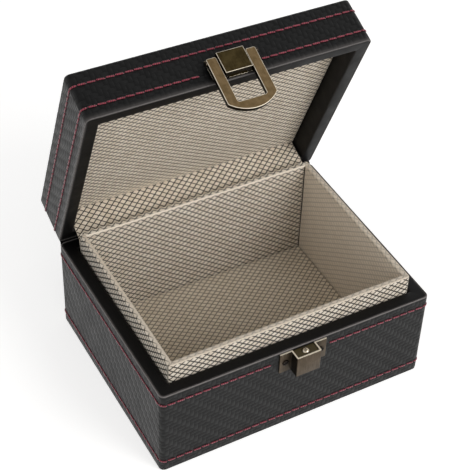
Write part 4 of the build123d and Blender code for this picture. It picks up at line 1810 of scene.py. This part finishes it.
# ================================================================ studio


def background_rays(graph: Graph) -> Any:
    """1 for the rays that show the background: from the camera, a mirror or clear glass."""
    add = graph.add
    seen, mirrored, through = (
        add("LightPath", out=f"Is {ray} Ray") for ray in ("Camera", "Glossy", "Transmission")
    )
    either = add("Math", seen, mirrored, operation="MAXIMUM")
    return add("Math", either, through, operation="MAXIMUM")


@dataclass
class Studio:
    """Camera, floor, world and lamp: pale, soft and plain."""

    eye: tuple[float, float, float] = (-223.3393, -379.4423, 464.6212)
    right: tuple[float, float, float] = (0.86262947, -0.50217703, 0.06073395)
    down: tuple[float, float, float] = (-0.29760007, -0.60092972, -0.74183398)
    ahead: tuple[float, float, float] = (0.40902883, 0.62185344, -0.66782762)
    focal_pixels: float = 1377.947
    centre_pixels: tuple[float, float] = (295.523, 234.183)
    picture: float = 470.0
    sensor: float = 36.0
    lamp_place: tuple[float, float, float] = (0.46, -0.92, 0.70)

    def camera(self) -> None:
        """The camera: its lens is the focal length in pixels as a share of the picture's width."""
        data = bpy.data.cameras.new("camera")
        data.sensor_width = self.sensor
        data.lens = self.sensor * self.focal_pixels / self.picture
        data.shift_x = (self.picture / 2 - self.centre_pixels[0]) / self.picture
        data.shift_y = (self.centre_pixels[1] - self.picture / 2) / self.picture
        camera = bpy.data.objects.new("camera", data)
        axes = np.array([self.right, np.negative(self.down), np.negative(self.ahead)]).T
        camera.matrix_world = Matrix.Translation(np.array(self.eye) * MM) @ Matrix(axes).to_4x4()
        bpy.context.scene.collection.objects.link(camera)
        bpy.context.scene.camera = camera

    def floor(self) -> None:
        """A pale floor that takes the shadow, and shows and reflects white where it is clear."""
        size = 3.0
        corners = [(-size, -size, 0), (size, -size, 0), (size, size, 0), (-size, size, 0)]
        mesh = bpy.data.meshes.new("floor")
        mesh.from_pydata(corners, [], [(0, 1, 2, 3)])
        material = bpy.data.materials.new("floor")
        material.use_nodes = True
        graph = Graph(material.node_tree)
        add = graph.add
        shown = background_rays(graph)
        matte = add("BsdfDiffuse", linear("#e9e8e6"))
        white = add("Emission", (1.0, 1.0, 1.0, 1.0), 0.62)
        glow = add("MixShader", shown, add("Emission", (0, 0, 0, 1.0), 0.0), white)
        graph.add("OutputMaterial", add("AddShader", matte, glow))
        mesh.materials.append(material)
        floor = bpy.data.objects.new("floor", mesh)
        bpy.context.scene.collection.objects.link(floor)
        floor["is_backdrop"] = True

    def world(self) -> None:
        """White to the camera, and in mirrors a white backdrop under a dim ceiling. For the rest it is
        a soft room, bright to the front and left near the horizon. Its strength falls with the sine
        of the height above the horizon."""
        world = bpy.data.worlds.new("studio")
        bpy.context.scene.world = world
        world.use_nodes = True
        graph = Graph(world.node_tree)
        add = graph.add
        way = add("TexCoord", out="Generated")
        height = add("SeparateXYZ", way, out=2)
        dim = add("MapRange", height, 0.42, 0.92, 1.0, 0.34, interpolation_type="SMOOTHSTEP")
        facing = add("VectorMath", way, (-0.5, -0.85, 0.0), operation="DOT_PRODUCT", out="Value")
        side = add("MapRange", facing, -0.7, 0.5, 0.36, 1.0, interpolation_type="SMOOTHSTEP")
        room = add("Math", dim, side, operation="MULTIPLY")
        backdrop = add("MapRange", height, 0.6, 0.9, 1.0, 0.34, interpolation_type="SMOOTHSTEP")
        mirrored = add("Mix", background_rays(graph), room, backdrop)
        strength = add("Mix", add("LightPath", out="Is Camera Ray"), mirrored, 1.0)
        graph.add("OutputWorld", add("Background", (1.0, 1.0, 1.0, 1.0), strength))

    def lamp(self) -> None:
        """One large soft lamp from the front right."""
        data = bpy.data.lights.new("softbox", "AREA")
        data.shape = "DISK"
        data.size = 0.7
        data.energy = 5.4
        lamp = bpy.data.objects.new("softbox", data)
        place = Vector(self.lamp_place)
        aim = (Vector((0.0, 0.0, 0.05)) - place).to_track_quat("-Z", "Y")
        lamp.matrix_world = Matrix.Translation(place) @ aim.to_matrix().to_4x4()
        bpy.context.scene.collection.objects.link(lamp)

    def build(self) -> None:
        """Sets up the studio and the plain view transform."""
        self.camera()
        self.floor()
        self.world()
        self.lamp()
        bpy.context.scene.view_settings.view_transform = "Standard"


def dress_nodes(nodes: dict[str, bpy.types.Object]) -> None:
    """Gives each solid that stays its finish, by the name of the slot that it came with."""
    for name, node in nodes.items():
        for slot in node.material_slots:
            finish = Finishes.nodes[slot.material.name.split(".")[0]]
            slot.material = (Finishes.screw if name == "keeper_screws" else finish).material()
        log.info("solid %s dressed", name)


def write_sizes() -> None:
    """Gathers the solids' box and the dressed model's as plain lists of numbers, which are not kept."""
    boxes = {"cad": cad_box, "visual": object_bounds()}
    {key: [list(low), list(high)] for key, (low, high) in boxes.items()}


def main() -> None:
    """Builds the box's pieces in order."""
    logging.basicConfig(level=logging.INFO, format="%(message)s")
    studio, latch = Studio(), HaspLatch()
    studio.build()
    dress_nodes(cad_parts)
    LeatherShell().build()
    offset, gap = BOX.latch_offset, 0.4
    keeper = (offset - latch.keeper_width / 2 - gap, offset + latch.keeper_width / 2 + gap)
    plate = (offset - latch.plate_width / 2 - gap, offset + latch.plate_width / 2 + gap)
    StitchRows().build(keeper, plate)
    TrayLining().build()
    LidPanel().build()
    SoftHinge().build()
    latch.build()
    DetentSpring(latch).build()
    write_sizes()


if __name__ == "__main__":
    main()
